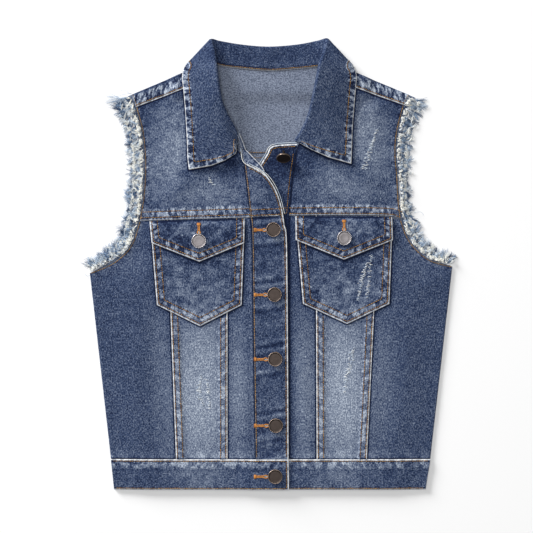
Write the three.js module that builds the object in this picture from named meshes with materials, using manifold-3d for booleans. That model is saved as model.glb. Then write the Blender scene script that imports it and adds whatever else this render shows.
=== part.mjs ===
// A sleeveless denim vest with frayed armholes, laid flat and buttoned but for its top button.
// Millimetres. X runs to the wearer's left, Y from the hem to the collar, Z up from the table.
// The back lies on the table, the fronts lie on the back, and the collar folds over the fronts.
// "Right" and "left" are the wearer's, and "out" is a distance from the middle of the vest.
import * as THREE from 'three';
import { mergeVertices } from 'three/addons/utils/BufferGeometryUtils.js';
import Module from 'manifold-3d';

const wasm = await Module();
wasm.setup();

// Cloth and the clearances between pieces
const CLOTH = 1.2;
const DOUBLE_CLOTH = 2.0;
const SEAM_GAP = 0.3;
const LAYER_GAP = 0.3;
const FLAP_CLEARANCE = 0.9;

// Levels along the body, from the hem up
const HEM = -264;
const BAND_TOP = -228.3;
const BACK_YOKE_SEAM = 129;

// Heights of the fronts' outer face above the table
const EDGE_HEIGHT = 3.4;
const BODY_HEIGHT = 6.0;
const EDGE_SLOPE = 45;
const EDGE_ROLL = 3;
const EDGE_ROLL_DROP = EDGE_HEIGHT - CLOTH - SEAM_GAP - CLOTH;
const BAND_LIFT = 0.6;
const BAND_EDGE_RISE = 0.4;
const OVERLAP_LIFT = DOUBLE_CLOTH + LAYER_GAP;
const OVERLAP_SLOPE = 25;
const SEAM_RIDGE = 0.8;
const SEAM_RIDGE_WIDTH = 9;

// The collar's fall lies under the upper back, which it lifts
const FALL_LIFT = 4;
const FALL_REACH = 108;
const FALL_TOP = 203;
const FALL_SLOPE = 16;

const DENIM = { color: 0x3d5480, roughness: 0.92, metalness: 0 };
const DENIM_INSIDE = { color: 0x7d879c, roughness: 0.95, metalness: 0 };
const FRAYED = { color: 0xc9d0d2, roughness: 1, metalness: 0 };
const GUNMETAL = { color: 0x6a5e5a, roughness: 0.4, metalness: 0.9 };
const PEWTER = { color: 0xa39c9e, roughness: 0.45, metalness: 0.85 };

// Each front, measured outwards from the middle: the cut edges and the seams sewn into them.
// backStep is how far the back's armhole stands out past each point of the front's.
const FRONTS = {
  right: {
    sign: -1,
    armhole: [
      { out: 162.5, y: 198.6 }, { out: 157.8, y: 185 }, { out: 150, y: 155 }, { out: 147, y: 122 },
      { out: 147.5, y: 95 }, { out: 150, y: 70 }, { out: 153.5, y: 50.5 }, { out: 161, y: 26 },
      { out: 172, y: 11 }, { out: 189, y: -1.5 }, { out: 211.8, y: -10.5 },
    ],
    shoulderSeamAt: 1,
    yokeSeamAt: 6,
    backStep: [9, 9, 7, 6, 6, 6, 6, 5, 4, 3, 0],
    bandTopOut: 187,
    hemOut: 183.2,
    shoulderFold: [{ out: 162.5, y: 198.6 }, { out: 74, y: 236 }],
    shoulderSeam: [{ out: 157.8, y: 185 }, { out: 74, y: 216.4 }],
    yokeSeam: [{ out: 153.5, y: 50.5 }, { out: 88, y: 52.6 }, { out: 23.2, y: 54.5 }],
    outerSeam: [{ out: 110.6, y: BAND_TOP }, { out: 117, y: -60 }, { out: 121.5, y: 51.5 }],
    innerSeam: [{ out: 50.2, y: BAND_TOP }, { out: 50.2, y: 53.7 }],
    placketSeam: [
      { out: 17.2, y: BAND_TOP }, { out: 19.3, y: -107 }, { out: 21.2, y: 28 }, { out: 23.2, y: 54.5 },
    ],
    placketSeamAbove: [
      { out: 23.2, y: 54.5 }, { out: 26.4, y: 84 }, { out: 29.4, y: 109 }, { out: 30.6, y: 119 },
    ],
    neckStart: { out: 36.5, y: 131 },
    pocket: { top: 40, outer: 140, outerLow: 132.8, inner: 30.5, innerLow: 33.7, low: -48, tip: 82.5, tipY: -72.8 },
    flap: { outer: 141.6, outerLow: 139, inner: 30.2, innerLow: 30.6, low: 24.5, tip: 83.3, tipY: 2.6 },
  },
  left: {
    sign: 1,
    armhole: [
      { out: 162.5, y: 198.2 }, { out: 156.6, y: 187.2 }, { out: 148.5, y: 156 }, { out: 146.5, y: 130 },
      { out: 148.5, y: 104 }, { out: 150.3, y: 72 }, { out: 152.6, y: 52 }, { out: 160.5, y: 31 },
      { out: 171, y: 17 }, { out: 188, y: 4 }, { out: 213, y: -3 },
    ],
    shoulderSeamAt: 1,
    yokeSeamAt: 6,
    backStep: [8, 8, 6, 6, 2, 1.5, 4, 4, 4, 3, 0],
    bandTopOut: 187.1,
    hemOut: 181.5,
    shoulderFold: [{ out: 162.5, y: 198.2 }, { out: 99.3, y: 224.3 }, { out: 74, y: 234.6 }],
    shoulderSeam: [{ out: 156.6, y: 187.2 }, { out: 100, y: 207.1 }, { out: 74, y: 216.5 }],
    yokeSeam: [{ out: 152.6, y: 52 }, { out: 141, y: 56.2 }, { out: 88, y: 57.2 }, { out: 22, y: 56.8 }],
    outerSeam: [{ out: 112.8, y: BAND_TOP }, { out: 121.4, y: -56 }, { out: 127, y: 56.4 }],
    innerSeam: [{ out: 53.9, y: BAND_TOP }, { out: 52.8, y: 57 }],
    placketSeam: [{ out: 22, y: BAND_TOP }, { out: 22, y: 56.8 }],
    placketSeamAbove: [
      { out: 22, y: 56.8 }, { out: 25.4, y: 96 }, { out: 28.6, y: 119 }, { out: 31.2, y: 138 },
    ],
    neckStart: { out: 32.4, y: 139.5 },
    pocket: { top: 42, outer: 142.6, outerLow: 139, inner: 30.2, innerLow: 38, low: -46.6, tip: 89.5, tipY: -70.2 },
    flap: { outer: 142.4, outerLow: 143.2, inner: 29.1, innerLow: 29.4, low: 28, tip: 85.8, tipY: 5.1 },
  },
};

// The buttonhole band's free edge, which turns away from the neck above the chest seam
const PLACKET_EDGE = [
  { x: 21.2, y: BAND_TOP }, { x: 20.5, y: -107 }, { x: 19.3, y: 22 }, { x: 16.4, y: 46 }, { x: 13.2, y: 66 },
  { x: 8, y: 82.5 }, { x: 1.3, y: 95 }, { x: -6, y: 104 }, { x: -15, y: 110 }, { x: -25.5, y: 115.4 },
];
const PLACKET_EDGE_RISE = 6;
const PLACKET_RISE_FROM = 56;
const PLACKET_RISE_TO = 116;
const UNDER_PLACKET_OUT = 19;
const UNDER_PLACKET_TOP = [{ x: -16.5, y: 108 }, { x: -4.7, y: 127.5 }, { x: 3, y: 138 }, { x: 31, y: 140.5 }];

// Soft folds pressed into the fronts: centre, direction in degrees, half length, half width, height
const SOFT_FOLDS = [
  { x: -150, y: -70, turn: 84, length: 90, width: 16, height: 0.7 },
  { x: -128, y: -150, turn: 96, length: 60, width: 12, height: -0.6 },
  { x: 158, y: -95, turn: 97, length: 80, width: 15, height: 0.8 },
  { x: 132, y: -175, turn: 80, length: 45, width: 11, height: -0.5 },
  { x: -82, y: 128, turn: 62, length: 48, width: 12, height: 0.9 },
  { x: -112, y: 86, turn: 24, length: 40, width: 10, height: 0.6 },
  { x: 96, y: 100, turn: 152, length: 44, width: 12, height: 0.8 },
  { x: 62, y: 84, turn: 112, length: 30, width: 9, height: 0.6 },
  { x: -34, y: -150, turn: 88, length: 60, width: 10, height: 0.6 },
  { x: 38, y: -140, turn: 93, length: 75, width: 10, height: 0.7 },
];

// The collar, a row for each section from its end on a front round to the middle of the back.
// Each section runs from the neck seam over the fold to the outer edge.
const COLLAR_RIGHT = [
  { neck: [-38.5, 133, 7.6], fold: [-39.6, 152, 12], edge: [-95.2, 110.2, 8.2] },
  { neck: [-46, 148, 7.6], fold: [-43.6, 161.5, 14.5], edge: [-97, 124, 8.2] },
  { neck: [-56, 166, 7.6], fold: [-51, 175, 18], edge: [-97.4, 140, 8.2] },
  { neck: [-64, 184, 8], fold: [-57, 190, 21.5], edge: [-98.4, 160, 8.2] },
  { neck: [-69, 202, 9.6], fold: [-60.3, 209, 23.5], edge: [-99.8, 182, 8.4] },
  { neck: [-71.5, 217, 10.6], fold: [-63, 230, 22], edge: [-101.6, 203, 9.6] },
  { neck: [-71.5, 229, 9.6], fold: [-66.4, 250, 15.5], edge: [-103, 220, 9.8] },
  { neck: [-66, 233, 6.8], fold: [-69, 261.8, 9], edge: [-99.2, 231.2, 4.1] },
  { neck: [-54, 230.8, 5.4], fold: [-60, 260.4, 4.8], edge: [-88, 219, 1.4] },
  { neck: [-30, 228, 5.3], fold: [-34, 256.2, 3.4], edge: [-56, 207.5, 1.3] },
];
const COLLAR_MIDDLE = { neck: [0, 226, 5.3], fold: [-2, 253.8, 3.4], edge: [0, 206, 1.3] };
const COLLAR_LEFT = [
  { neck: [30, 228, 5.3], fold: [34, 256.6, 3.4], edge: [54, 207.5, 1.3] },
  { neck: [53, 230.4, 5.4], fold: [57, 261, 4.8], edge: [86, 219, 1.4] },
  { neck: [65, 232.6, 6.8], fold: [65.4, 262.4, 9], edge: [96.2, 231.2, 4.1] },
  { neck: [70.5, 228, 9.6], fold: [62.4, 249, 15.5], edge: [100.4, 220, 9.8] },
  { neck: [70.5, 216, 10.6], fold: [57, 233, 22], edge: [99.2, 202, 9.6] },
  { neck: [67, 201, 9.6], fold: [53.2, 214, 23.5], edge: [97.6, 182, 8.4] },
  { neck: [61, 184, 8], fold: [49.2, 195, 21.5], edge: [96.2, 164, 8.2] },
  { neck: [53, 168, 7.6], fold: [44.6, 175, 18], edge: [95.4, 146, 8.2] },
  { neck: [44, 154, 7.6], fold: [37.4, 158, 14.5], edge: [95, 131, 8.2] },
  { neck: [34.5, 141, 7.8], fold: [28.4, 143.6, 11], edge: [94.4, 117, 8.2] },
];
// How far each front end of the collar bows past the straight line from its fold to its point
const END_BOW = {
  right: [{ at: 0, by: 0 }, { at: 0.18, by: 19 }, { at: 0.41, by: 17.3 }, { at: 0.65, by: 12.6 }, { at: 1, by: 0 }],
  left: [{ at: 0, by: 0 }, { at: 0.3, by: 2.4 }, { at: 0.6, by: 3.2 }, { at: 1, by: 0 }],
};
const END_BOW_ROWS = 3;
const COLLAR_STEPS_PER_ROW = 2;
const STAND_STEPS = 3;
const FOLD_STEPS = 4;
const FALL_STEPS = 6;
const FOLD_RADIUS = 1.95;
const FALL_CROWN = 1.2;

// Jeans buttons: a dished cap on a short shank. The open top one leans over on the neck of its shank.
const BUTTON = { radius: 8.5, rim: 0.9, rimHeight: 0.5, thickness: 2.2, shank: 3.2, shankHeight: 1.2, sides: 16 };
const BUTTON_NECK = { radius: 1.4, length: 8.1 };
const FRONT_BUTTONS = [
  { x: 15.2, y: 125.5, lean: 56 }, { x: 3.3, y: 40.2 }, { x: 4.6, y: -35.6 },
  { x: 5.4, y: -111 }, { x: 6, y: -188.6 }, { x: 5.4, y: -248 },
];
const POCKET_BUTTONS = { right: { x: -83.7, y: 26.9 }, left: { x: 86, y: 30.4 } };

// Frayed armhole trims: a narrow strip with loose strands standing out from it
const STRIP = { gap: 0.7, width: 3.2, thickness: 1.2, stations: 26 };
const STRAND = { count: 54, root: 1.5, tip: 0.7, shortest: 0.6, sway: 0.4, underarmLean: 0.9 };
const FRONT_FRAY_REACH = 9;
const BACK_FRAY_REACH = 12;
// The strands are longer at the shoulder and under the arm
const REACH_ALONG = [
  { at: 0, by: 1.5 }, { at: 0.16, by: 1 }, { at: 0.68, by: 1 }, { at: 0.86, by: 1.6 }, { at: 1, by: 1.5 },
];

const clamp01 = (t) => Math.min(1, Math.max(0, t));
const smooth = (t) => clamp01(t) ** 2 * (3 - 2 * clamp01(t));

// A repeatable scatter between 0 and 1
function scatter(seed) {
  const wave = Math.sin(seed * 127.1 + 311.7) * 43758.5453;
  return wave - Math.floor(wave);
}

// Curves in the plane of the table, each a function of 0 to 1

const place = (front, point) => new THREE.Vector2(front.sign * point.out, point.y);

function curveThrough(points) {
  const curve = points.length === 2
    ? new THREE.LineCurve(points[0], points[1])
    : new THREE.SplineCurve(points);
  return (t) => curve.getPointAt(clamp01(t));
}

// Several curves end to end, each with its share of 0 to 1
function chain(...parts) {
  const whole = parts.reduce((sum, part) => sum + part.share, 0);
  return (t) => {
    let from = 0;
    for (const part of parts) {
      const share = part.share / whole;
      if (t <= from + share || part === parts.at(-1)) return part.curve((t - from) / share);
      from += share;
    }
    return parts.at(-1).curve(1);
  };
}

const backwards = (curve) => (t) => curve(1 - t);
const shifted = (curve, dx, dy) => (t) => curve(t).clone().add(new THREE.Vector2(dx, dy));
const line = (a, b) => curveThrough([a, b]);

// The fronts' outline, for the distance of a point from the nearest closed edge

function edgePoints(front) {
  const down = front.armhole.map((p) => place(front, p));
  return [...down.reverse(), ...front.shoulderFold.slice(1).map((p) => place(front, p))];
}

const CLOSED_EDGES = Object.values(FRONTS).map((front) => [
  new THREE.Vector2(front.sign * front.hemOut, HEM),
  new THREE.Vector2(front.sign * front.bandTopOut, BAND_TOP),
  ...edgePoints(front),
]);

function distanceToSegment(x, y, a, b) {
  const along = b.clone().sub(a);
  const t = clamp01(((x - a.x) * along.x + (y - a.y) * along.y) / along.lengthSq());
  return Math.hypot(x - a.x - along.x * t, y - a.y - along.y * t);
}

function distanceToEdge(x, y) {
  let nearest = Infinity;
  for (const edge of CLOSED_EDGES) {
    for (let i = 1; i < edge.length; i++) {
      nearest = Math.min(nearest, distanceToSegment(x, y, edge[i - 1], edge[i]));
    }
  }
  return nearest;
}

// Heights

function foldHeight(x, y) {
  let height = 0;
  for (const fold of SOFT_FOLDS) {
    const turn = THREE.MathUtils.degToRad(fold.turn);
    const dx = x - fold.x;
    const dy = y - fold.y;
    const along = (dx * Math.cos(turn) + dy * Math.sin(turn)) / fold.length;
    const across = (dy * Math.cos(turn) - dx * Math.sin(turn)) / fold.width;
    height += fold.height * Math.exp(-along * along - across * across);
  }
  return height;
}

const liftOverFall = (x, y) =>
  FALL_LIFT * smooth((y - FALL_TOP + FALL_SLOPE) / FALL_SLOPE)
  * smooth((FALL_REACH + FALL_SLOPE - Math.abs(x)) / FALL_SLOPE);

// The outer face of a front's single cloth, before seams and overlaps
function bodyHeight(x, y, rolled = true) {
  const d = distanceToEdge(x, y);
  const rise = smooth(d / EDGE_SLOPE);
  const roll = rolled && d < EDGE_ROLL ? 1 - Math.sqrt(1 - (1 - d / EDGE_ROLL) ** 2) : 0;
  const nearBand = BAND_EDGE_RISE * smooth((BAND_TOP + 12 - y) / 12);
  return EDGE_HEIGHT + nearBand + (BODY_HEIGHT - EDGE_HEIGHT) * rise - EDGE_ROLL_DROP * roll
    + foldHeight(x, y) * rise + liftOverFall(x, y);
}

const overlapRise = (x) =>
  smooth((x + FRONTS.right.placketSeam[0].out + OVERLAP_SLOPE) / OVERLAP_SLOPE);

// The right front climbs onto the left front's button band
const frontHeight = (front, x, y, rolled) =>
  bodyHeight(x, y, rolled) + (front.sign < 0 ? OVERLAP_LIFT / 2 * overlapRise(x) : 0);

// Solids

// A grid between four curves that share their corners
function patch({ bottom, top, left, right }, columns, rows) {
  const grid = [];
  for (let j = 0; j <= rows; j++) {
    const v = j / rows;
    const row = [];
    for (let i = 0; i <= columns; i++) {
      const u = i / columns;
      const point = new THREE.Vector2()
        .addScaledVector(bottom(u), 1 - v).addScaledVector(top(u), v)
        .addScaledVector(left(v), 1 - u).addScaledVector(right(v), u)
        .addScaledVector(bottom(0), -(1 - u) * (1 - v)).addScaledVector(bottom(1), -u * (1 - v))
        .addScaledVector(top(0), -(1 - u) * v).addScaledVector(top(1), -u * v);
      row.push(point);
    }
    grid.push(row);
  }
  return grid;
}

// A closed wall between two sheets of points of the same rows and columns
function wallBetween(outer, inner) {
  const rows = outer.length;
  const columns = outer[0].length;
  const positions = [...outer.flat(), ...inner.flat()].flatMap((p) => [p.x, p.y, p.z]);
  const indices = [];
  const at = (sheet, j, i) => sheet * rows * columns + j * columns + i;
  const quad = (a, b, c, d) => indices.push(a, b, c, a, c, d);
  for (let j = 1; j < rows; j++) {
    for (let i = 1; i < columns; i++) {
      quad(at(0, j - 1, i - 1), at(0, j - 1, i), at(0, j, i), at(0, j, i - 1));
      quad(at(1, j - 1, i - 1), at(1, j, i - 1), at(1, j, i), at(1, j - 1, i));
    }
  }
  for (let i = 1; i < columns; i++) {
    quad(at(0, 0, i), at(0, 0, i - 1), at(1, 0, i - 1), at(1, 0, i));
    quad(at(0, rows - 1, i - 1), at(0, rows - 1, i), at(1, rows - 1, i), at(1, rows - 1, i - 1));
  }
  for (let j = 1; j < rows; j++) {
    quad(at(0, j - 1, 0), at(0, j, 0), at(1, j, 0), at(1, j - 1, 0));
    quad(at(0, j, columns - 1), at(0, j - 1, columns - 1), at(1, j - 1, columns - 1), at(1, j, columns - 1));
  }
  const geometry = new THREE.BufferGeometry();
  geometry.setAttribute('position', new THREE.Float32BufferAttribute(positions, 3));
  geometry.setIndex(indices);
  return geometry;
}

// The same wall with its faces turned to point out, whichever way its grid ran
function facingOut(outer, inner) {
  const [a, b, c] = [outer[0][0], outer[0][1], outer[1][0]];
  const up = (b.x - a.x) * (c.y - a.y) - (b.y - a.y) * (c.x - a.x);
  if (up > 0) return wallBetween(outer, inner);
  return wallBetween(outer.map((row) => [...row].reverse()), inner.map((row) => [...row].reverse()));
}

// Cloth over a grid, from its outer height down by its thickness
function clothWall(grid, thickness, heightAt) {
  const sheet = (drop) => grid.map((row, j) => row.map((p, i) =>
    new THREE.Vector3(p.x, p.y, heightAt(p.x, p.y, i / (row.length - 1), j / (grid.length - 1)) - drop)));
  return facingOut(sheet(0), sheet(thickness));
}

function solidMesh(name, geometry, look) {
  const mesh = new THREE.Mesh(geometry, new THREE.MeshStandardMaterial(look));
  mesh.name = name;
  geometry.computeVertexNormals();
  return mesh;
}

// Curves of a front

function frontCurves(front) {
  const points = (list) => list.map((p) => place(front, p));
  const { armhole, shoulderSeamAt, yokeSeamAt } = front;
  return {
    armholeStrip: curveThrough(points(armhole.slice(0, shoulderSeamAt + 1))),
    armholeYoke: curveThrough(points(armhole.slice(shoulderSeamAt, yokeSeamAt + 1))),
    armholeSide: curveThrough(points(armhole.slice(yokeSeamAt))),
    shoulderFold: curveThrough(points(front.shoulderFold)),
    shoulderSeam: curveThrough(points(front.shoulderSeam)),
    yokeSeam: curveThrough(points(front.yokeSeam)),
    outerSeam: curveThrough(points(front.outerSeam)),
    innerSeam: curveThrough(points(front.innerSeam)),
    placketSeam: curveThrough(points(front.placketSeam)),
    placketSeamAbove: curveThrough(points(front.placketSeamAbove)),
  };
}

// The front's neckline lies just outside the collar's neck seam
function neckline(front) {
  const rows = front.sign < 0 ? COLLAR_RIGHT.slice(1, 6) : COLLAR_LEFT.slice(4, 9).reverse();
  const clear = DOUBLE_CLOTH / 2 + 2 * SEAM_GAP;
  return curveThrough([
    place(front, front.neckStart),
    ...rows.map((row) => new THREE.Vector2(row.neck[0] + front.sign * clear, row.neck[1])),
  ]);
}

// Where a seam curve, read from the hem up, stands at a given level
function outAt(points, y) {
  for (let i = 1; i < points.length; i++) {
    const [low, high] = [points[i - 1], points[i]];
    if (y <= high.y || i === points.length - 1) {
      return low.out + (high.out - low.out) * (y - low.y) / (high.y - low.y);
    }
  }
  return points[0].out;
}

// The raised allowance beside a seam, gone where a pocket lies over it
function seamRidge(front, seams, x, y) {
  const out = front.sign * x;
  const nearest = Math.min(...seams.map((seam) => Math.abs(out - outAt(front[seam], y))));
  const pocketSide = Math.abs(out - front.pocket.tip) / (front.pocket.outerLow - front.pocket.tip);
  const pocketEdge = front.pocket.tipY + (front.pocket.low - front.pocket.tipY) * pocketSide;
  const belowPocket = smooth((pocketEdge - 4 - y) / 6);
  return nearest < SEAM_RIDGE_WIDTH ? SEAM_RIDGE * belowPocket : 0;
}

// Pieces of a front

// Column positions that put an edge on each side of the raised allowances
function ridgedColumns(width, inside) {
  const band = SEAM_RIDGE_WIDTH / width;
  const step = 0.6 / width;
  const middle = Array.from({ length: inside }, (_, i) =>
    band + step + (1 - 2 * (band + step)) * (i + 1) / (inside + 1));
  return [0, band - step, band + step, ...middle, 1 - band - step, 1 - band + step, 1];
}

function stretchColumns(grid, at) {
  return grid.map((row) => at.map((u) => row[0].clone().lerp(row.at(-1), u)));
}

function makeSidePanel(front, curves) {
  const half = SEAM_GAP / 2;
  const corner = curves.armholeSide(1);
  const outer = line(new THREE.Vector2(front.sign * front.bandTopOut, BAND_TOP + half), corner);
  const seamTop = curves.outerSeam(1).clone().add(new THREE.Vector2(front.sign * half, -half));
  const seamFoot = curves.outerSeam(0).clone().add(new THREE.Vector2(front.sign * half, half));
  const yokeCorner = curves.yokeSeam(0).clone().add(new THREE.Vector2(0, -half));
  const top = chain(
    { curve: backwards(curves.armholeSide), share: 5 },
    { curve: line(yokeCorner, seamTop), share: 3 },
  );
  const seam = chain({ curve: shifted(curves.outerSeam, front.sign * half, 0), share: 1 });
  const ends = { left: outer, right: (t) => (t <= 0 ? seamFoot : t >= 1 ? seamTop : seam(t)) };
  const grid = patch({ ...ends, bottom: line(outer(0), seamFoot), top }, 16, 9);
  return clothWall(grid, CLOTH, (x, y) => frontHeight(front, x, y));
}

// A strip of the lower front between two seams that run up from the band
function seamStrip(front, curves, outerName, innerName, columns) {
  const half = SEAM_GAP / 2;
  const outer = shifted(curves[outerName], -front.sign * half, 0);
  const inner = shifted(curves[innerName], front.sign * half, 0);
  const raised = (point, dy) => point.clone().add(new THREE.Vector2(0, dy));
  const left = (t) => raised(outer(t), half - t * SEAM_GAP);
  const right = (t) => raised(inner(t), half - t * SEAM_GAP);
  return patch({ left, right, bottom: line(left(0), right(0)), top: line(left(1), right(1)) }, columns, 10);
}

function makeMiddlePanel(front, curves) {
  const grid = seamStrip(front, curves, 'outerSeam', 'innerSeam', 2);
  const width = Math.abs(curves.outerSeam(0).x - curves.innerSeam(0).x);
  const ridged = stretchColumns(grid, ridgedColumns(width, 3));
  return clothWall(ridged, CLOTH, (x, y) =>
    frontHeight(front, x, y) + seamRidge(front, ['outerSeam', 'innerSeam'], x, y));
}

function makeCentrePanel(front, curves) {
  const grid = seamStrip(front, curves, 'innerSeam', 'placketSeam', 4);
  return clothWall(grid, CLOTH, (x, y) => frontHeight(front, x, y));
}

// The yoke's lower allowance is raised along the chest seam
function yokeHeight(front, curves) {
  const seam = Array.from({ length: 9 }, (_, i) => curves.yokeSeam(i / 8));
  return (x, y) => {
    const above = Math.min(...seam.map((p) => Math.hypot(p.x - x, 0) * 0.02 + Math.max(0, y - p.y)));
    return frontHeight(front, x, y) + SEAM_RIDGE * smooth((SEAM_RIDGE_WIDTH + 1 - above) / 1.5);
  };
}

function makeYoke(front, curves) {
  const half = SEAM_GAP / 2;
  const low = shifted(curves.yokeSeam, 0, half);
  const top = shifted(curves.shoulderSeam, 0, -half);
  const neck = neckline(front);
  const seamTop = curves.placketSeamAbove(1);
  const rawInner = chain(
    { curve: shifted(curves.placketSeamAbove, front.sign * half, 0), share: 4 },
    { curve: line(shifted(() => seamTop, front.sign * half, 0)(0), neck(0)), share: 1 },
    { curve: neck, share: 5 },
  );
  const inner = (t) => (t <= 0 ? low(1) : t >= 1 ? top(1) : rawInner(t));
  const armhole = backwards(curves.armholeYoke);
  const outer = (t) => (t <= 0 ? low(0) : t >= 1 ? top(0) : armhole(t));
  const grid = patch({ bottom: low, top, left: outer, right: inner }, 8, 10);
  const banded = [grid[0], ridgeRow(grid, SEAM_RIDGE_WIDTH - 0.6), ridgeRow(grid, SEAM_RIDGE_WIDTH + 0.6)];
  return clothWall([...banded, ...grid.slice(1)], CLOTH, yokeHeight(front, curves));
}

// A row of points a given distance above the first row of a grid
function ridgeRow(grid, above) {
  return grid[0].map((p, i) => {
    const up = grid[1][i].clone().sub(p);
    return p.clone().addScaledVector(up, above / up.y);
  });
}

function makeShoulder(front, curves) {
  const half = SEAM_GAP / 2;
  const low = shifted(curves.shoulderSeam, 0, half);
  const { shoulderFold: fold } = curves;
  const grid = patch({ bottom: low, top: fold, left: line(low(0), fold(0)), right: line(low(1), fold(1)) }, 6, 4);
  return clothWall(grid, CLOTH, (x, y) => frontHeight(front, x, y) + SEAM_RIDGE / 2);
}

// A pointed outline that hangs from a straight top
function pointedOutline(front, form, top) {
  const at = (out, y) => new THREE.Vector2(front.sign * out, y);
  const low = [at(form.outerLow, form.low), at(form.innerLow, form.low)];
  const tip = at(form.tip, form.tipY);
  return {
    left: line(low[0], top[0]),
    right: line(low[1], top[1]),
    top: line(top[0], top[1]),
    bottom: chain({ curve: line(low[0], tip), share: 1 }, { curve: line(tip, low[1]), share: 1 }),
  };
}

function makePocket(front) {
  const { pocket } = front;
  const at = (out) => new THREE.Vector2(front.sign * out, pocket.top);
  const grid = patch(pointedOutline(front, pocket, [at(pocket.outer), at(pocket.inner)]), 8, 6);
  return clothWall(grid, CLOTH, (x, y) => frontHeight(front, x, y) + LAYER_GAP + CLOTH);
}

// The flap leaves the chest seam level with it and lies over the pocket
function makeFlap(front, curves) {
  const { flap } = front;
  const seamY = (out) => outAtLevel(curves.yokeSeam, front.sign * out);
  const corner = (out) => new THREE.Vector2(front.sign * out, seamY(out) - FLAP_CLEARANCE);
  const grid = patch(pointedOutline(front, flap, [corner(flap.outer), corner(flap.inner)]), 8, 6);
  const overPocket = LAYER_GAP + CLOTH;
  return clothWall(grid, DOUBLE_CLOTH, (x, y) => frontHeight(front, x, y) + LAYER_GAP + DOUBLE_CLOTH
    + overPocket * smooth((seamY(flap.tip) - 1 - y) / 7));
}

// The level of a seam that runs across the front, at a given x
function outAtLevel(curve, x) {
  let best = curve(0);
  for (let t = 0; t <= 1; t += 0.01) {
    if (Math.abs(curve(t).x - x) < Math.abs(best.x - x)) best = curve(t);
  }
  return best.y;
}

// Plackets

function placketRise(y) {
  return smooth((y - PLACKET_RISE_FROM) / (PLACKET_RISE_TO - PLACKET_RISE_FROM));
}

function makeButtonholeBand(curves) {
  const half = SEAM_GAP / 2;
  const seam = chain(
    { curve: shifted(curves.placketSeam, half, 0), share: 14 },
    { curve: shifted(curves.placketSeamAbove, half, 0), share: 8 },
  );
  const freeEdge = curveThrough(PLACKET_EDGE.map((p) => new THREE.Vector2(p.x, p.y)));
  const left = (t) => seam(t).clone().add(new THREE.Vector2(0, half * (1 - t)));
  const right = (t) => freeEdge(t).clone().add(new THREE.Vector2(0, half * (1 - t)));
  const grid = patch({ left, right, bottom: line(left(0), right(0)), top: line(left(1), right(1)) }, 4, 22);
  return clothWall(grid, DOUBLE_CLOTH, (x, y, u) =>
    bodyHeight(x, y) + OVERLAP_LIFT + PLACKET_EDGE_RISE * placketRise(y) * (0.3 + 0.7 * u));
}

function makeButtonBand(curves) {
  const half = SEAM_GAP / 2;
  const top = curveThrough(UNDER_PLACKET_TOP.map((p) => new THREE.Vector2(p.x, p.y)));
  const foot = BAND_TOP + half;
  const seam = chain(
    { curve: shifted(curves.placketSeam, -half, 0), share: 13 },
    { curve: shifted(curves.placketSeamAbove, -half, 0), share: 5 },
  );
  const right = (t) => (t >= 1 ? top(1) : seam(t).clone().add(new THREE.Vector2(0, half * (1 - t))));
  const left = chain(
    { curve: line(new THREE.Vector2(-UNDER_PLACKET_OUT + 3, foot), new THREE.Vector2(-UNDER_PLACKET_OUT, 56)), share: 13 },
    { curve: line(new THREE.Vector2(-UNDER_PLACKET_OUT, 56), top(0)), share: 5 },
  );
  const grid = patch({ left, right, bottom: line(left(0), right(0)), top }, 4, 18);
  return clothWall(grid, DOUBLE_CLOTH, (x, y) => bodyHeight(x, y, false));
}

// Hem band

function bandOutline(outerSign, outTop, outHem, endTop, endHem) {
  const outer = line(new THREE.Vector2(outerSign * outHem, HEM), new THREE.Vector2(outerSign * outTop, BAND_TOP));
  const end = line(new THREE.Vector2(endHem, HEM), new THREE.Vector2(endTop, BAND_TOP));
  const lowered = (curve) => (t) => curve(t).clone().add(new THREE.Vector2(0, -SEAM_GAP / 2 * t));
  const [left, right] = [lowered(outer), lowered(end)];
  return { left, right, bottom: line(left(0), right(0)), top: line(left(1), right(1)) };
}

function makeBandRight() {
  const { bandTopOut, hemOut } = FRONTS.right;
  const grid = patch(bandOutline(-1, bandTopOut, hemOut, 21.2, 21.6), 16, 3);
  return clothWall(grid, DOUBLE_CLOTH, (x, y) =>
    bodyHeight(x, y, false) + BAND_LIFT + OVERLAP_LIFT * overlapRise(x));
}

function makeBandLeft() {
  const { bandTopOut, hemOut } = FRONTS.left;
  const grid = patch(bandOutline(1, bandTopOut, hemOut, -15.5, -15), 14, 3);
  return clothWall(grid, DOUBLE_CLOTH, (x, y) => bodyHeight(x, y, false) + BAND_LIFT);
}

function makeBandBack() {
  const { right, left } = FRONTS;
  const outline = bandOutline(-1, right.bandTopOut, right.hemOut, left.bandTopOut, left.hemOut);
  return clothWall(patch(outline, 12, 2), DOUBLE_CLOTH, () => DOUBLE_CLOTH);
}

// Back

// The back's armhole, stepped out from the front's
function backArmhole(front) {
  const edge = front.armhole.map((p) => place(front, p));
  const stepped = edge.map((p, i) => {
    const before = edge[Math.max(0, i - 1)];
    const after = edge[Math.min(edge.length - 1, i + 1)];
    const along = after.clone().sub(before).normalize();
    const outwards = new THREE.Vector2(-along.y, along.x).multiplyScalar(front.sign * front.backStep[i]);
    return p.clone().add(outwards);
  });
  const fold = front.shoulderFold.map((p) => place(front, p));
  const alongFold = fold[0].clone().sub(fold[1]).normalize();
  stepped[0] = fold[0].clone().addScaledVector(alongFold, front.backStep[0]);
  return stepped;
}

// The back armhole divided where the back yoke's seam crosses it
function dividedArmhole(front) {
  const whole = curveThrough(backArmhole(front));
  let cut = 0;
  while (whole(cut).y > BACK_YOKE_SEAM) cut += 0.002;
  return {
    yoke: (t) => whole(cut * t),
    panel: (t) => whole(cut + (1 - cut) * t),
  };
}

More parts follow.
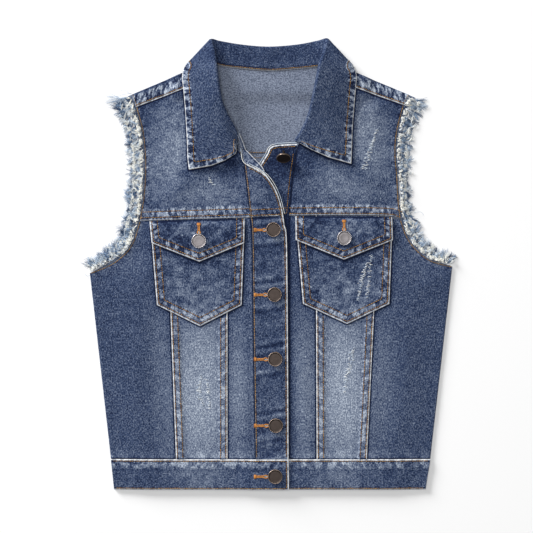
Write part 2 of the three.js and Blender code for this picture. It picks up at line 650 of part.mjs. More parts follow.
function makeBackPanel() {
  const half = SEAM_GAP / 2;
  const foot = BAND_TOP + half;
  const edge = (front) => {
    const armhole = dividedArmhole(front).panel;
    const underarm = armhole(1);
    const side = line(new THREE.Vector2(front.sign * front.bandTopOut, foot), underarm);
    const up = chain({ curve: side, share: 6 }, { curve: backwards(armhole), share: 14 });
    return (t) => (t >= 1 ? new THREE.Vector2(armhole(0).x, BACK_YOKE_SEAM - half) : up(t));
  };
  const [left, right] = [edge(FRONTS.right), edge(FRONTS.left)];
  const grid = patch({ left, right, bottom: line(left(0), right(0)), top: line(left(1), right(1)) }, 10, 20);
  return clothWall(grid, CLOTH, () => CLOTH);
}

function backNeckline() {
  const rows = [...COLLAR_RIGHT.slice(7), COLLAR_MIDDLE, ...COLLAR_LEFT.slice(0, 3)];
  return curveThrough(rows.map((row) => new THREE.Vector2(row.neck[0], row.neck[1] - SEAM_GAP)));
}

function makeBackYoke() {
  const half = SEAM_GAP / 2;
  const neck = backNeckline();
  const fold = (front) => curveThrough(front.shoulderFold.map((p) => place(front, p)));
  const reach = (front) => line(dividedArmhole(front).yoke(0), fold(front)(0));
  const edge = (front) => {
    const armhole = dividedArmhole(front).yoke;
    return (t) => (t <= 0 ? new THREE.Vector2(armhole(1).x, BACK_YOKE_SEAM + half) : armhole(1 - t));
  };
  const top = chain(
    { curve: reach(FRONTS.right), share: 1 },
    { curve: fold(FRONTS.right), share: 4 },
    { curve: line(fold(FRONTS.right)(1), neck(0)), share: 1 },
    { curve: neck, share: 8 },
    { curve: line(neck(1), fold(FRONTS.left)(1)), share: 1 },
    { curve: backwards(fold(FRONTS.left)), share: 4 },
    { curve: backwards(reach(FRONTS.left)), share: 1 },
  );
  const [left, right] = [edge(FRONTS.right), edge(FRONTS.left)];
  const grid = patch({ left, right, bottom: line(left(0), right(0)), top }, 20, 9);
  return clothWall(grid, CLOTH, (x, y) => CLOTH + liftOverFall(x, y));
}

// Collar

const COLLAR_ROWS = [...COLLAR_RIGHT, COLLAR_MIDDLE, ...COLLAR_LEFT];

function tableValue(table, at) {
  const next = Math.max(1, table.findIndex((row) => row.at >= at));
  const [low, high] = [table[next - 1], table[next]];
  return low.by + (high.by - low.by) * (at - low.at) / (high.at - low.at);
}

// One section of the collar's middle surface, from the neck seam over the fold to the outer edge
function collarSection(neck, fold, edge, bow, bowTable, bowSide) {
  const toNeck = neck.clone().sub(fold).normalize();
  const toEdge = edge.clone().sub(fold).normalize();
  const inwards = toNeck.clone().add(toEdge).normalize();
  const across = toNeck.clone().sub(toEdge).normalize();
  const centre = fold.clone().addScaledVector(inwards, FOLD_RADIUS);
  const halfTurn = Math.PI / 2 - toNeck.angleTo(toEdge) / 2;
  const onFold = (angle) => centre.clone()
    .addScaledVector(inwards, -FOLD_RADIUS * Math.cos(angle))
    .addScaledVector(across, FOLD_RADIUS * Math.sin(angle));
  const points = [];
  const standEnd = onFold(halfTurn);
  for (let i = 0; i < STAND_STEPS; i++) points.push(neck.clone().lerp(standEnd, i / STAND_STEPS));
  for (let i = 0; i <= FOLD_STEPS; i++) points.push(onFold(halfTurn * (1 - 2 * i / FOLD_STEPS)));
  const fallStart = onFold(-halfTurn);
  const plan = new THREE.Vector3(edge.x - fold.x, edge.y - fold.y, 0).normalize();
  const sideways = new THREE.Vector3(plan.y, -plan.x, 0).multiplyScalar(bowSide);
  for (let i = 1; i <= FALL_STEPS; i++) {
    const t = i / FALL_STEPS;
    const point = fallStart.clone().lerp(edge, t);
    point.addScaledVector(sideways, bow * tableValue(bowTable, t));
    if (edge.z > EDGE_HEIGHT) point.z += FALL_CROWN * Math.sin(Math.PI * t);
    points.push(point);
  }
  return points;
}

function makeCollar() {
  const through = (part) => new THREE.CatmullRomCurve3(
    COLLAR_ROWS.map((row) => new THREE.Vector3(...row[part])), false, 'centripetal');
  const [neck, fold, edge] = ['neck', 'fold', 'edge'].map(through);
  const spans = COLLAR_ROWS.length - 1;
  const stations = spans * COLLAR_STEPS_PER_ROW;
  const middle = Array.from({ length: stations + 1 }, (_, j) => {
    const t = j / stations;
    const rowsFromEnd = Math.min(t, 1 - t) * spans;
    const bow = smooth(1 - rowsFromEnd / END_BOW_ROWS);
    const side = t < 0.5 ? 'right' : 'left';
    const sections = [neck, fold, edge].map((curve) => curve.getPoint(t));
    return collarSection(...sections, bow, END_BOW[side], side === 'right' ? -1 : 1);
  });
  const normals = sheetNormals(middle);
  const moved = (by) => middle.map((row, j) => row.map((p, i) => p.clone().addScaledVector(normals[j][i], by)));
  return wallBetween(moved(DOUBLE_CLOTH / 2), moved(-DOUBLE_CLOTH / 2));
}

// Normals of a sheet of points, along columns crossed with rows
function sheetNormals(sheet) {
  const last = (list) => list.length - 1;
  return sheet.map((row, j) => row.map((p, i) => {
    const alongRow = row[Math.min(last(row), i + 1)].clone().sub(row[Math.max(0, i - 1)]);
    const alongColumn = sheet[Math.min(last(sheet), j + 1)][i].clone().sub(sheet[Math.max(0, j - 1)][i]);
    return alongRow.cross(alongColumn).normalize();
  }));
}

// Buttons

function buttonGeometry(lean) {
  const { radius, rim, rimHeight, thickness, shank, shankHeight, sides } = BUTTON;
  const top = shankHeight + thickness;
  const { radius: neck, length } = BUTTON_NECK;
  const foot = lean ? [[0, -length], [neck, -length], [neck, 0]] : [[0, 0]];
  const profile = [
    ...foot, [shank, 0], [shank, shankHeight], [radius - rim, shankHeight], [radius, shankHeight + rim],
    [radius, top - rim / 2], [radius - rim / 2, top], [radius - rim * 1.5, top], [radius - rim * 2, top - rimHeight],
    [0, top - rimHeight],
  ].map(([r, z]) => new THREE.Vector2(r, z));
  const geometry = new THREE.LatheGeometry(profile, sides);
  geometry.rotateX(Math.PI / 2 + THREE.MathUtils.degToRad(lean));
  return geometry;
}

function makeButton(name, { x, y, lean = 0 }, seat, look) {
  const geometry = buttonGeometry(lean);
  geometry.computeBoundingBox();
  const mesh = solidMesh(name, geometry, look);
  mesh.position.set(x, y, seat + SEAM_GAP - geometry.boundingBox.min.z);
  return mesh;
}

// Frayed trims

function toSolid(geometry) {
  const bare = geometry.clone();
  bare.deleteAttribute('normal');
  bare.deleteAttribute('uv');
  const merged = mergeVertices(bare, 1e-3);
  return new wasm.Manifold(new wasm.Mesh({
    numProp: 3,
    vertProperties: new Float32Array(merged.attributes.position.array),
    triVerts: new Uint32Array(merged.index.array),
  }));
}

function toGeometry(solid) {
  const mesh = solid.getMesh();
  const geometry = new THREE.BufferGeometry();
  geometry.setAttribute('position', new THREE.Float32BufferAttribute(mesh.vertProperties, 3));
  geometry.setIndex([...mesh.triVerts]);
  return geometry;
}

// A tapered strand of three sides between two points
function strandGeometry(root, tip) {
  const along = tip.clone().sub(root).normalize();
  const aside = new THREE.Vector3(-along.y, along.x, 0).normalize();
  const ring = (centre, size) => [
    centre.clone().addScaledVector(aside, -size / 2),
    centre.clone().addScaledVector(aside, size / 2),
    centre.clone().add(new THREE.Vector3(0, 0, size * 0.6)),
  ];
  const points = [...ring(root, STRAND.root), ...ring(tip, STRAND.tip)];
  const geometry = new THREE.BufferGeometry();
  geometry.setAttribute('position', new THREE.Float32BufferAttribute(points.flatMap((p) => [p.x, p.y, p.z]), 3));
  geometry.setIndex([0, 2, 1, 3, 4, 5, 0, 1, 3, 1, 4, 3, 1, 2, 4, 2, 5, 4, 2, 0, 5, 0, 3, 5]);
  return geometry;
}

// A strip along an edge with strands that stand outwards from it
function makeFray(edgeCurve, sign, reach, floorAt, seedStart) {
  const along = (t) => {
    const step = 0.004;
    return edgeCurve(Math.min(1, t + step)).clone().sub(edgeCurve(Math.max(0, t - step))).normalize();
  };
  const outwards = (t) => {
    const d = along(t);
    return new THREE.Vector2(-d.y, d.x).multiplyScalar(sign);
  };
  const at = (t, out) => edgeCurve(t).clone().addScaledVector(outwards(t), out);
  const sheet = (lift) => Array.from({ length: STRIP.stations + 1 }, (_, j) => {
    const t = j / STRIP.stations;
    return [at(t, STRIP.gap), at(t, STRIP.gap + STRIP.width)].map((p) =>
      new THREE.Vector3(p.x, p.y, floorAt(t) + lift));
  });
  let solid = toSolid(facingOut(sheet(STRIP.thickness), sheet(0)));
  for (let i = 0; i < STRAND.count; i++) {
    const seed = seedStart + i * 3;
    const t = (i + 0.2 + 0.6 * scatter(seed)) / STRAND.count;
    const longest = reach * tableValue(REACH_ALONG, t);
    const length = longest * (STRAND.shortest + (1 - STRAND.shortest) * scatter(seed + 1));
    const root = at(t, STRIP.gap + STRIP.width * 0.6);
    const sway = STRAND.sway * (scatter(seed + 2) - 0.5);
    const lean = STRAND.underarmLean * smooth((t - 0.75) / 0.25);
    const heading = outwards(t).clone().addScaledVector(along(t), sway + lean).normalize();
    const tip = root.clone().addScaledVector(heading, length);
    const low = floorAt(t) + 0.2;
    const strand = strandGeometry(
      new THREE.Vector3(root.x, root.y, low),
      new THREE.Vector3(tip.x, tip.y, low + 0.6 * scatter(seed + 1)),
    );
    solid = solid.add(toSolid(strand));
  }
  return toGeometry(solid);
}

function makeFrontFray(front) {
  const edge = curveThrough(front.armhole.map((p) => place(front, p)));
  const level = CLOTH + SEAM_GAP + 0.9;
  const onArmhole = (t) => edge(t * 0.99);
  return makeFray(onArmhole, front.sign, FRONT_FRAY_REACH, (t) => level + 0.4 * Math.sin(Math.PI * t), 11);
}

function makeBackFray(front) {
  const edge = curveThrough(backArmhole(front));
  return makeFray((t) => edge(t * 0.985), front.sign, BACK_FRAY_REACH, () => 0.3, 501);
}

// The vest

const vest = new THREE.Group();
vest.add(
  solidMesh('back_panel', makeBackPanel(), DENIM_INSIDE),
  solidMesh('back_yoke', makeBackYoke(), DENIM_INSIDE),
  solidMesh('waistband_back', makeBandBack(), DENIM),
  solidMesh('waistband_right', makeBandRight(), DENIM),
  solidMesh('waistband_left', makeBandLeft(), DENIM),
  solidMesh('collar', makeCollar(), DENIM),
);
for (const [side, front] of Object.entries(FRONTS)) {
  const curves = frontCurves(front);
  vest.add(
    solidMesh(`side_${side}`, makeSidePanel(front, curves), DENIM),
    solidMesh(`middle_${side}`, makeMiddlePanel(front, curves), DENIM),
    solidMesh(`centre_${side}`, makeCentrePanel(front, curves), DENIM),
    solidMesh(`yoke_${side}`, makeYoke(front, curves), DENIM),
    solidMesh(`shoulder_${side}`, makeShoulder(front, curves), DENIM),
    solidMesh(`pocket_${side}`, makePocket(front), DENIM),
    solidMesh(`flap_${side}`, makeFlap(front, curves), DENIM),
    solidMesh(`fray_front_${side}`, makeFrontFray(front), FRAYED),
    solidMesh(`fray_back_${side}`, makeBackFray(front), FRAYED),
    side === 'right'
      ? solidMesh('placket_right', makeButtonholeBand(curves), DENIM)
      : solidMesh('placket_left', makeButtonBand(curves), DENIM),
  );
  const at = POCKET_BUTTONS[side];
  const flapTop = frontHeight(front, at.x, at.y) + 2 * LAYER_GAP + CLOTH + DOUBLE_CLOTH;
  vest.add(makeButton(`button_pocket_${side}`, at, flapTop, PEWTER));
}
FRONT_BUTTONS.forEach((at, i) => {
  const underneath = i === 0 ? 0 : OVERLAP_LIFT;
  const onBand = at.y < BAND_TOP ? BAND_LIFT : 0;
  const seat = bodyHeight(at.x, at.y) + underneath + onBand;
  vest.add(makeButton(`button_${i + 1}`, at, seat, GUNMETAL));
});

export default vest;
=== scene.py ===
"""A sleeveless denim vest with frayed armholes, laid flat on a pale floor and seen from straight above."""
import math

import bpy
import numpy as np
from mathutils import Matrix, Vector


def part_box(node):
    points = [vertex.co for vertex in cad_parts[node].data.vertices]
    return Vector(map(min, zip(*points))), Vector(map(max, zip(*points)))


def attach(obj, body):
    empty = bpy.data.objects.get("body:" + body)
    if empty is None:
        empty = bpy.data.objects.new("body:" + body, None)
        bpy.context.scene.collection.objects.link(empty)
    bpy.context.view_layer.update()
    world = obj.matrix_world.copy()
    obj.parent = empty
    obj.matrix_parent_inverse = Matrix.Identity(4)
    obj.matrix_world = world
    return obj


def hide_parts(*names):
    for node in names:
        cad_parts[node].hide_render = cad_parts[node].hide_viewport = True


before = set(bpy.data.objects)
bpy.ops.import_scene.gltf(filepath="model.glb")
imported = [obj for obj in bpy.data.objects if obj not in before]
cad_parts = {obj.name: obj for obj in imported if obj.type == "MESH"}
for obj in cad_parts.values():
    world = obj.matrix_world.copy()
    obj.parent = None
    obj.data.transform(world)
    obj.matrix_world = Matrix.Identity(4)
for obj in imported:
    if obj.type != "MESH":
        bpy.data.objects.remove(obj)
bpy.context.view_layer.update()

# Lengths below are millimetres, as in the part's source, and become metres when a mesh is made.
MM = 0.001
CLOTH = 1.2
DOUBLE_CLOTH = 2.0
SEAM_GAP = 0.3
LAYER_GAP = 0.3
FLAP_CLEARANCE = 0.9

HEM = -264
BAND_TOP = -228.3
BACK_YOKE_SEAM = 129

EDGE_HEIGHT = 3.4
BODY_HEIGHT = 6.0
EDGE_SLOPE = 45
EDGE_ROLL = 3
EDGE_ROLL_DROP = EDGE_HEIGHT - CLOTH - SEAM_GAP - CLOTH
BAND_LIFT = 0.6
BAND_EDGE_RISE = 0.4
OVERLAP_LIFT = DOUBLE_CLOTH + LAYER_GAP
OVERLAP_SLOPE = 25
SEAM_RIDGE = 0.8
SEAM_RIDGE_WIDTH = 9

FALL_LIFT = 4
FALL_REACH = 108
FALL_TOP = 203
FALL_SLOPE = 16

# Each front, measured outwards from the middle. back_step is how far the back's armhole stands out past it.
FRONTS = {
    "right": {
        "sign": -1,
        "armhole": [(162.5, 198.6), (157.8, 185), (150, 155), (147, 122), (147.5, 95), (150, 70),
                    (153.5, 50.5), (161, 26), (172, 11), (189, -1.5), (211.8, -10.5)],
        "back_step": [9, 9, 7, 6, 6, 6, 6, 5, 4, 3, 0],
        "band_top": 187, "hem": 183.2,
        "shoulder_fold": [(162.5, 198.6), (74, 236)],
        "shoulder_seam": [(157.8, 185), (74, 216.4)],
        "yoke_seam": [(153.5, 50.5), (88, 52.6), (23.2, 54.5)], "yoke_rows": (3.4, 10.2),
        "outer_seam": [(110.6, BAND_TOP), (117, -60), (121.5, 51.5)],
        "inner_seam": [(50.2, BAND_TOP), (50.2, 53.7)],
        "placket_seam": [(17.2, BAND_TOP), (19.3, -107), (21.2, 28), (23.2, 54.5)],
        "placket_above": [(23.2, 54.5), (26.4, 84), (29.4, 109), (30.6, 119)],
        "neck_start": (36.5, 131),
        "pocket": {"top": 40, "outer": 140, "outer_low": 132.8, "inner": 30.5, "inner_low": 33.7,
                   "low": -48, "tip": 82.5, "tip_y": -72.8},
        "flap": {"outer": 141.6, "outer_low": 139, "inner": 30.2, "inner_low": 30.6,
                 "low": 24.5, "tip": 83.3, "tip_y": 2.6},
    },
    "left": {
        "sign": 1,
        "armhole": [(162.5, 198.2), (156.6, 187.2), (148.5, 156), (146.5, 130), (148.5, 104), (150.3, 72),
                    (152.6, 52), (160.5, 31), (171, 17), (188, 4), (213, -3)],
        "back_step": [8, 8, 6, 6, 2, 1.5, 4, 4, 4, 3, 0],
        "band_top": 187.1, "hem": 181.5,
        "shoulder_fold": [(162.5, 198.2), (99.3, 224.3), (74, 234.6)],
        "shoulder_seam": [(156.6, 187.2), (100, 207.1), (74, 216.5)],
        "yoke_seam": [(152.6, 52), (141, 56.2), (88, 57.2), (22, 56.8)], "yoke_rows": (2.2, 8.8),
        "outer_seam": [(112.8, BAND_TOP), (121.4, -56), (127, 56.4)],
        "inner_seam": [(53.9, BAND_TOP), (52.8, 57)],
        "placket_seam": [(22, BAND_TOP), (22, 56.8)],
        "placket_above": [(22, 56.8), (25.4, 96), (28.6, 119), (31.2, 138)],
        "neck_start": (32.4, 139.5),
        "pocket": {"top": 42, "outer": 142.6, "outer_low": 139, "inner": 30.2, "inner_low": 38,
                   "low": -46.6, "tip": 89.5, "tip_y": -70.2},
        "flap": {"outer": 142.4, "outer_low": 143.2, "inner": 29.1, "inner_low": 29.4,
                 "low": 28, "tip": 85.8, "tip_y": 5.1},
    },
}
ARMHOLE_SHOULDER, ARMHOLE_YOKE = 1, 6

PLACKET_EDGE = [(21.2, BAND_TOP), (20.5, -107), (19.3, 22), (16.4, 46), (13.2, 66), (8, 82.5), (1.3, 95),
                (-6, 104), (-15, 110), (-25.5, 115.4)]
PLACKET_EDGE_RISE = 6
PLACKET_RISE_FROM, PLACKET_RISE_TO = 56, 116
UNDER_PLACKET_OUT = 19
UNDER_PLACKET_TOP = [(-16.5, 108), (-4.7, 127.5), (3, 138), (31, 140.5)]

# Soft folds: centre, direction in degrees, half length, half width, height
SOFT_FOLDS = [
    (-150, -70, 84, 90, 16, 0.7), (-128, -150, 96, 60, 12, -0.6), (158, -95, 97, 80, 15, 0.8),
    (132, -175, 80, 45, 11, -0.5), (-82, 128, 62, 48, 12, 0.9), (-112, 86, 24, 40, 10, 0.6),
    (96, 100, 152, 44, 12, 0.8), (62, 84, 112, 30, 9, 0.6), (-34, -150, 88, 60, 10, 0.6),
    (38, -140, 93, 75, 10, 0.7),
]

# The collar, a row for each section: neck seam, fold and outer edge
COLLAR_ROWS = [
    ((-38.5, 133, 7.6), (-39.6, 152, 12), (-95.2, 110.2, 8.2)),
    ((-46, 148, 7.6), (-43.6, 161.5, 14.5), (-97, 124, 8.2)),
    ((-56, 166, 7.6), (-51, 175, 18), (-97.4, 140, 8.2)),
    ((-64, 184, 8), (-57, 190, 21.5), (-98.4, 160, 8.2)),
    ((-69, 202, 9.6), (-60.3, 209, 23.5), (-99.8, 182, 8.4)),
    ((-71.5, 217, 10.6), (-63, 230, 22), (-101.6, 203, 9.6)),
    ((-71.5, 229, 9.6), (-66.4, 250, 15.5), (-103, 220, 9.8)),
    ((-66, 233, 6.8), (-69, 261.8, 9), (-99.2, 231.2, 4.1)),
    ((-54, 230.8, 5.4), (-60, 260.4, 4.8), (-88, 219, 1.4)),
    ((-30, 228, 5.3), (-34, 256.2, 3.4), (-56, 207.5, 1.3)),
    ((0, 226, 5.3), (-2, 253.8, 3.4), (0, 206, 1.3)),
    ((30, 228, 5.3), (34, 256.6, 3.4), (54, 207.5, 1.3)),
    ((53, 230.4, 5.4), (57, 261, 4.8), (86, 219, 1.4)),
    ((65, 232.6, 6.8), (65.4, 262.4, 9), (96.2, 231.2, 4.1)),
    ((70.5, 228, 9.6), (62.4, 249, 15.5), (100.4, 220, 9.8)),
    ((70.5, 216, 10.6), (57, 233, 22), (99.2, 202, 9.6)),
    ((67, 201, 9.6), (53.2, 214, 23.5), (97.6, 182, 8.4)),
    ((61, 184, 8), (49.2, 195, 21.5), (96.2, 164, 8.2)),
    ((53, 168, 7.6), (44.6, 175, 18), (95.4, 146, 8.2)),
    ((44, 154, 7.6), (37.4, 158, 14.5), (95, 131, 8.2)),
    ((34.5, 141, 7.8), (28.4, 143.6, 11), (94.4, 117, 8.2)),
]
END_BOW = {
    "right": ((0, 0.18, 0.41, 0.65, 1), (0, 19, 17.3, 12.6, 0)),
    "left": ((0, 0.3, 0.6, 1), (0, 2.4, 3.2, 0)),
}
END_BOW_ROWS = 3
FOLD_RADIUS = 1.95
FALL_CROWN = 1.2
COLLAR_STITCH_INSET = 7.6
# The row of stitches beside each end draws nearer to it towards the neck: lengths along the end, and insets
COLLAR_END_INSETS = [(0, ((0, 17, 50), (2.4, 3.0, 7.6))), (-1, ((0, 40), (2.8, 7.6)))]
COLLAR_SHOWN_ROWS = 7
# The points of each section on its stand, around its fold and on its fall, and where the fall is read from
SECTION_COUNTS = (10, 12, 40)
FOLD_COLUMN = 24
COLLAR_TIPS = [(-95, 111), (94, 117)]
# How many rows from each end are searched for the end's stitches
END_SEARCH = 60

TOP_BUTTON_LEAN = math.radians(56)
BUTTON_NECK = {"radius": 1.4, "length": 8.1}
BUTTON = {"radius": 8.5, "thickness": 2.2, "shank": 3.2, "shank_height": 1.2}
FRONT_BUTTONS = [(15.2, 125.5), (3.3, 40.2), (4.6, -35.6), (5.4, -111), (6, -188.6), (5.4, -248)]
POCKET_BUTTONS = {"right": (-83.7, 26.9), "left": (86, 30.4)}

# Rows of stitches, each a distance into the cloth from the edge or seam that it follows
ROWS = {
    "armhole": (0.7,), "middle": (2.0, 8.2), "shoulder": (2.2,), "shoulder_end": (1.3,), "pocket": (2.7, 9.2),
    "flap": (2.8, 9.2), "buttonhole_edge": (2.6,), "buttonhole_seam": (0.9,), "chest": (2.0, 8.6),
    "neck_edge": (3.0,), "button_seam": (3.2,), "band_top": (2.1,), "hem": (1.7,), "band_end": (2.8,),
    "collar_neck": (1.8,), "facing": (2.2,),
}
STITCH = {"pitch": 2.7, "length": 2.1, "radius": 0.5, "arch": (-0.25, 0.16, 0.3, 0.16, -0.25)}
STITCH_SHARES = (0, 0.16, 0.5, 0.84, 1.0)
STITCH_TAPER = (0.6, 1, 1.05, 1, 0.6)
# A distance that no seam's effect reaches
FAR = 60.0
# What a row of stitches presses into the cloth, and the radius that rounds a sewn edge
GROOVE_DEPTH = 0.22
GROOVE_WIDTH = 0.65
EDGE_RADIUS = 0.6
# Cells of the noise before it repeats
NOISE_CELLS = 64
# The step between a cloth's points, and the first steps beside its edges
POINT_STEP = 1.6
EDGE_STEPS = [0, 0.25, 0.6, 1.1, 1.8, 2.8]
# How far the shoulder strip lies over the yoke's edge
STRIP_DROP = 1.3
# A panel's edge that goes under the seam beside it: how far in, how far down, and the drop's start and length
TUCK = {"under": 1.4, "drop": 0.75, "start": 0.6, "slope": 0.5}
FACING_CLOTH = 0.9
# How far the grain is turned in the hem band, and in the back
BAND_GRAIN = math.pi / 2
BACK_GRAIN = math.radians(84)

# Worn places: centre, half width, half height, turn in degrees, how far towards white
FADES = [
    (-82, -150, 40, 105, 0, 0.98), (85, -148, 38, 105, 0, 1.0),
    (-38, -150, 14, 90, 0, 0.55), (40, -150, 14, 90, 0, 0.57),
    (-124, -140, 18, 85, 3, 0.35), (126, -140, 18, 85, -3, 0.35),
    (-110, 138, 30, 62, -16, 0.62), (-64, 84, 52, 22, 6, 0.42),
    (114, 150, 25, 58, 12, 0.66), (82, 92, 54, 24, -6, 0.48),
    (-82, -40, 42, 26, 0, 0.3), (86, -34, 42, 28, 0, 0.3),
    (-168, 10, 30, 24, 0, 0.12), (170, 10, 30, 24, 0, 0.12),
]

# Painted shade under the flaps, by the collar's ends, in the V at the neck and at the armholes' tops, and a
# few places made paler: centre, half width, half height and how far towards dark, or pale below 0
DARKER = [
    (14, 120, 20, 20, 0.5), (46, 104, 14, 26, 0.3), (-46, 112, 14, 24, 0.3), (-100, 104, 9, 9, 0.3),
    (98, 110, 9, 9, 0.3), (-150, 178, 9, 16, 0.3), (150, 178, 9, 16, 0.3), (-86, 28, 50, 9, 0.2),
    (88, 28, 50, 9, 0.2), (-86, 64, 60, 8, -0.15), (86, 66, 60, 8, -0.15), (172, -110, 36, 110, -0.07),
]
# Blotches of wear: how strong, how wide, how high and what is added to the seed
BLOTCHES = [(0.6, 9, 7, 1), (0.6, 4, 3, 2), (0.5, 1.9, 2.4, 5)]

BUTTON_TOP = BUTTON["shank_height"] + BUTTON["thickness"]
# A button's rim, from its outside inwards: distances in from its radius and up from its top
RIM_STEPS = [(0.05, -0.35), (0.35, 0), (0.8, 0.02)]
RIM = [(BUTTON["radius"] - step_in, BUTTON_TOP + rise) for step_in, rise in RIM_STEPS]
LATHE_SIDES = 56

# Bunches of yarns at the armholes: their spacing, the yarns in each, ranges of root, length and lift, how
# they lean, their width and the tints that are drawn from
# The darkest tints, most of all in back_low, are indigo yarns that also paint the shade in the gaps between
# bunches.
TUFTS = {
    "front_inner": {"spacing": 3.6, "yarns": 13, "root": (1.6, 3.4), "length": (3.5, 6.5), "lift": (1.0, 2.6),
                    "lean": 0.55, "width": 0.9, "tints": (1, 0.96, 0.93, 0.88, 0.8, 0.62)},
    "front_outer": {"spacing": 2.9, "yarns": 13, "root": (4.2, 7), "length": (4.5, 9.5), "lift": (0.8, 2.4),
                    "lean": 0.7, "width": 0.95, "tints": (0.88, 0.76, 0.64, 0.54, 0.42, 0.25)},
    "back_low": {"spacing": 2.0, "yarns": 13, "root": (0.5, 4), "length": (8, 13), "lift": (0.3, 0.8),
                 "lean": 0.5, "width": 1.4, "tints": (0.5, 0.35, 0.2, 0.1, 0.6)},
    "back_outer": {"spacing": 3.1, "yarns": 14, "root": (4, 9), "length": (5.5, 11.5), "lift": (0.9, 2.6),
                   "lean": 0.75, "width": 0.95, "tints": (0.88, 0.76, 0.66, 0.58, 0.48, 0.32, 0.12)},
}
# Bunches that stand out further, and how the reach changes from the shoulder to the underarm
WISPS = {"share": 0.2, "longer": 0.4}
REACH = {"right": 1.0, "left": 0.8}
ALONG_EDGE = [(0, 0.07, 0.16, 0.68, 0.86, 1), (1.35, 1.3, 1, 1, 1.25, 1.2)]
KNOTS = {
    "spacing": 0.9, "cluster_spacing": 6.5, "cluster_spread": 1.6, "turns": (0.3, 1.0), "size": (0.6, 1.7),
}

YARN_TAPER = (1, 1, 1, 0.95, 0.85, 0.45)
# The frayed edge of each layer: how much of the armhole it takes, its bunches with their level and seed, its
# curled ends with their root, level and seed, and the yarns along it with distances, level, seed and tints
FRAY_SEAT = CLOTH + SEAM_GAP + 0.5
# The running yarns' low tints are indigo yarns that also paint the dark, shaded gap along each armhole.
FRAYS = {
    "front": {"share": 0.99,
              "tufts": [("front_outer", FRAY_SEAT, 203), ("front_inner", FRAY_SEAT + 0.9, 207)],
              "knots": ((2.0, 5.2), FRAY_SEAT + 1.0, 213),
              "running": ((0.9, 2.6, 4.3, 6.2), FRAY_SEAT - 0.6, 217, (0.02, 0.25))},
    "back": {"share": 0.985, "tufts": [("back_low", 0.1, 223), ("back_outer", 0.3, 227)],
             "knots": ((5.5, 8.5), 0.2, 233), "running": ((2.5, 5, 7.5, 10), 0.1, 237, (0.05, 0.45))},
}
# Long loose threads at the back's edge, as places in plan
STRAYS = {
    "right": [[(-163, 200), (-172, 199), (-180, 196.5), (-184, 197)], [(-164, 199), (-171, 204), (-176, 203)],
              [(-166, 188), (-176, 186), (-182, 181)], [(-153, 133), (-162, 127), (-165, 120), (-163, 114)],
              [(-155, 139), (-163, 138), (-168, 133)], [(-208, -12), (-215, -14), (-218, -11)]],
    "left": [[(160, 150), (166, 152), (169, 148)],
             [(168, 60), (176, 61), (180, 57)], [(207, 4), (213, 2), (217, 5)]],
}

# Scraped places, where pale weft shows: paths on each piece, and the threads that bridge them
SCRAPE = {"spacing": 1.15, "radius": 0.3, "reach": (0.7, 2.2), "kept": 0.8, "tints": (0.6, 0.88)}
SCRAPES = {
    "yoke_right": [[(-72, 100), (-68, 93)], [(-70, 99), (-66, 92)]],
    "yoke_left": [[(126, 160), (120, 144), (116, 127), (111, 111)], [(121, 146), (112, 126), (108, 112)]],
    "pocket_left": [[(118, 10), (116, -10), (114, -24), (112, -40)],
                    [(113, 2), (109, -14), (105, -30), (102, -42)], [(109, -6), (104, -24)]],
    "middle_right": [[(-81, -130), (-83, -148), (-79, -165)], [(-75, -134), (-73, -152), (-72, -172)],
                     [(-86, -142), (-84, -158)]],
    "middle_left": [[(97, -98), (95, -116), (89, -134), (86, -150)], [(93, -104), (91, -122), (86, -138)]],
}

# The end of the collar's stand and the turned end of the buttonhole band, each with two sides in space
STAND_END = [[(-38.6, 150, 14.2), (-35.6, 141.5, 12.6), (-33.4, 134.5, 10.5)],
             [(-36, 152.5, 12.5), (-31.5, 142, 10.5), (-28.4, 133, 9.5)]]
FACING = [
    [(-33.6, 133.4, 9.8), (-32, 122.5, 11.2), (-27.6, 116.8, 12.2), (-18, 112.9, 12.4), (-8.2, 107.6, 12.2)],
    [(-28.6, 133.6, 8.8), (-24.2, 129.4, 9), (-16.4, 121.4, 9.6), (-9.9, 114.4, 10.4), (-6.6, 108.2, 11.4)],
]
FACING_RIB = [(-34.6, 134.5, 10.6), (-33, 122, 12), (-28.4, 116.2, 13.4), (-18.6, 112.2, 13.6),
              (-8, 106.4, 13.4), (-0.6, 97.4, 12.8)]
FACING_SEAMS = [
    {"wear": 0.2, "rungs": 0.5, "period": 4, "edge": 0.4, "seed": 402},
    {"wear": 0.7, "rungs": 0.5, "period": 4, "edge": 0.5, "seed": 403, "rows": ROWS["facing"], "puff": 0.1},
]

# Where the front lies open, and the worn edge of a layer under another: how far in it is and how far down
OPEN_FROM = 58
RIB_INSET = 1.8
RIB_DROP = {"right": 1.2, "left": 0.8}
# Buttonholes: where the band's start, how far below the button's middle they run, how far under the button
# they end, and how far above its button the flap's starts
BUTTONHOLE = {"start": -18.6, "below": 0.5, "under": 1.5, "above": 20.5}
# The hem band's ends at the front, each at the hem and at the band's top
BAND_ENDS = {"left": (-15, -15.5), "right": (21.6, 21.2)}
# The seam across the buttonhole band at the chest, and its level on the button band
CHEST_LINE = np.array([(-26, 54.6), (21, 56.4)])
UNDER_CHEST = 56.8
# The back's rows of stitches: level, how far out on both sides, and the piece
BACK_ROWS = [(131, 140, "back_yoke"), (124.6, 138, "back_panel")]

# Floor, light and camera, in metres and watts. The frame's width is what the picture shows at the cloth.
FLOOR_HALF = 1.6
FLOOR_DROP = 0.0002
FLOOR_COLOR = (0.93, 0.93, 0.93, 1)
LIGHTS = {"key": ((-5.32, 5.32, 2.74), 3.8, 900), "overhead": ((-0.25, 0.25, 3.0), 1.2, 44)}
WORLD_STRENGTH = 0.19
FRAME_WIDTH = 0.6236
CAMERA_PLACE = (-0.0047, -0.0029)
CAMERA_HEIGHT = 1.9
SENSOR = 36.0


def smooth(t):
    t = np.clip(t, 0, 1)
    return t * t * (3 - 2 * t)


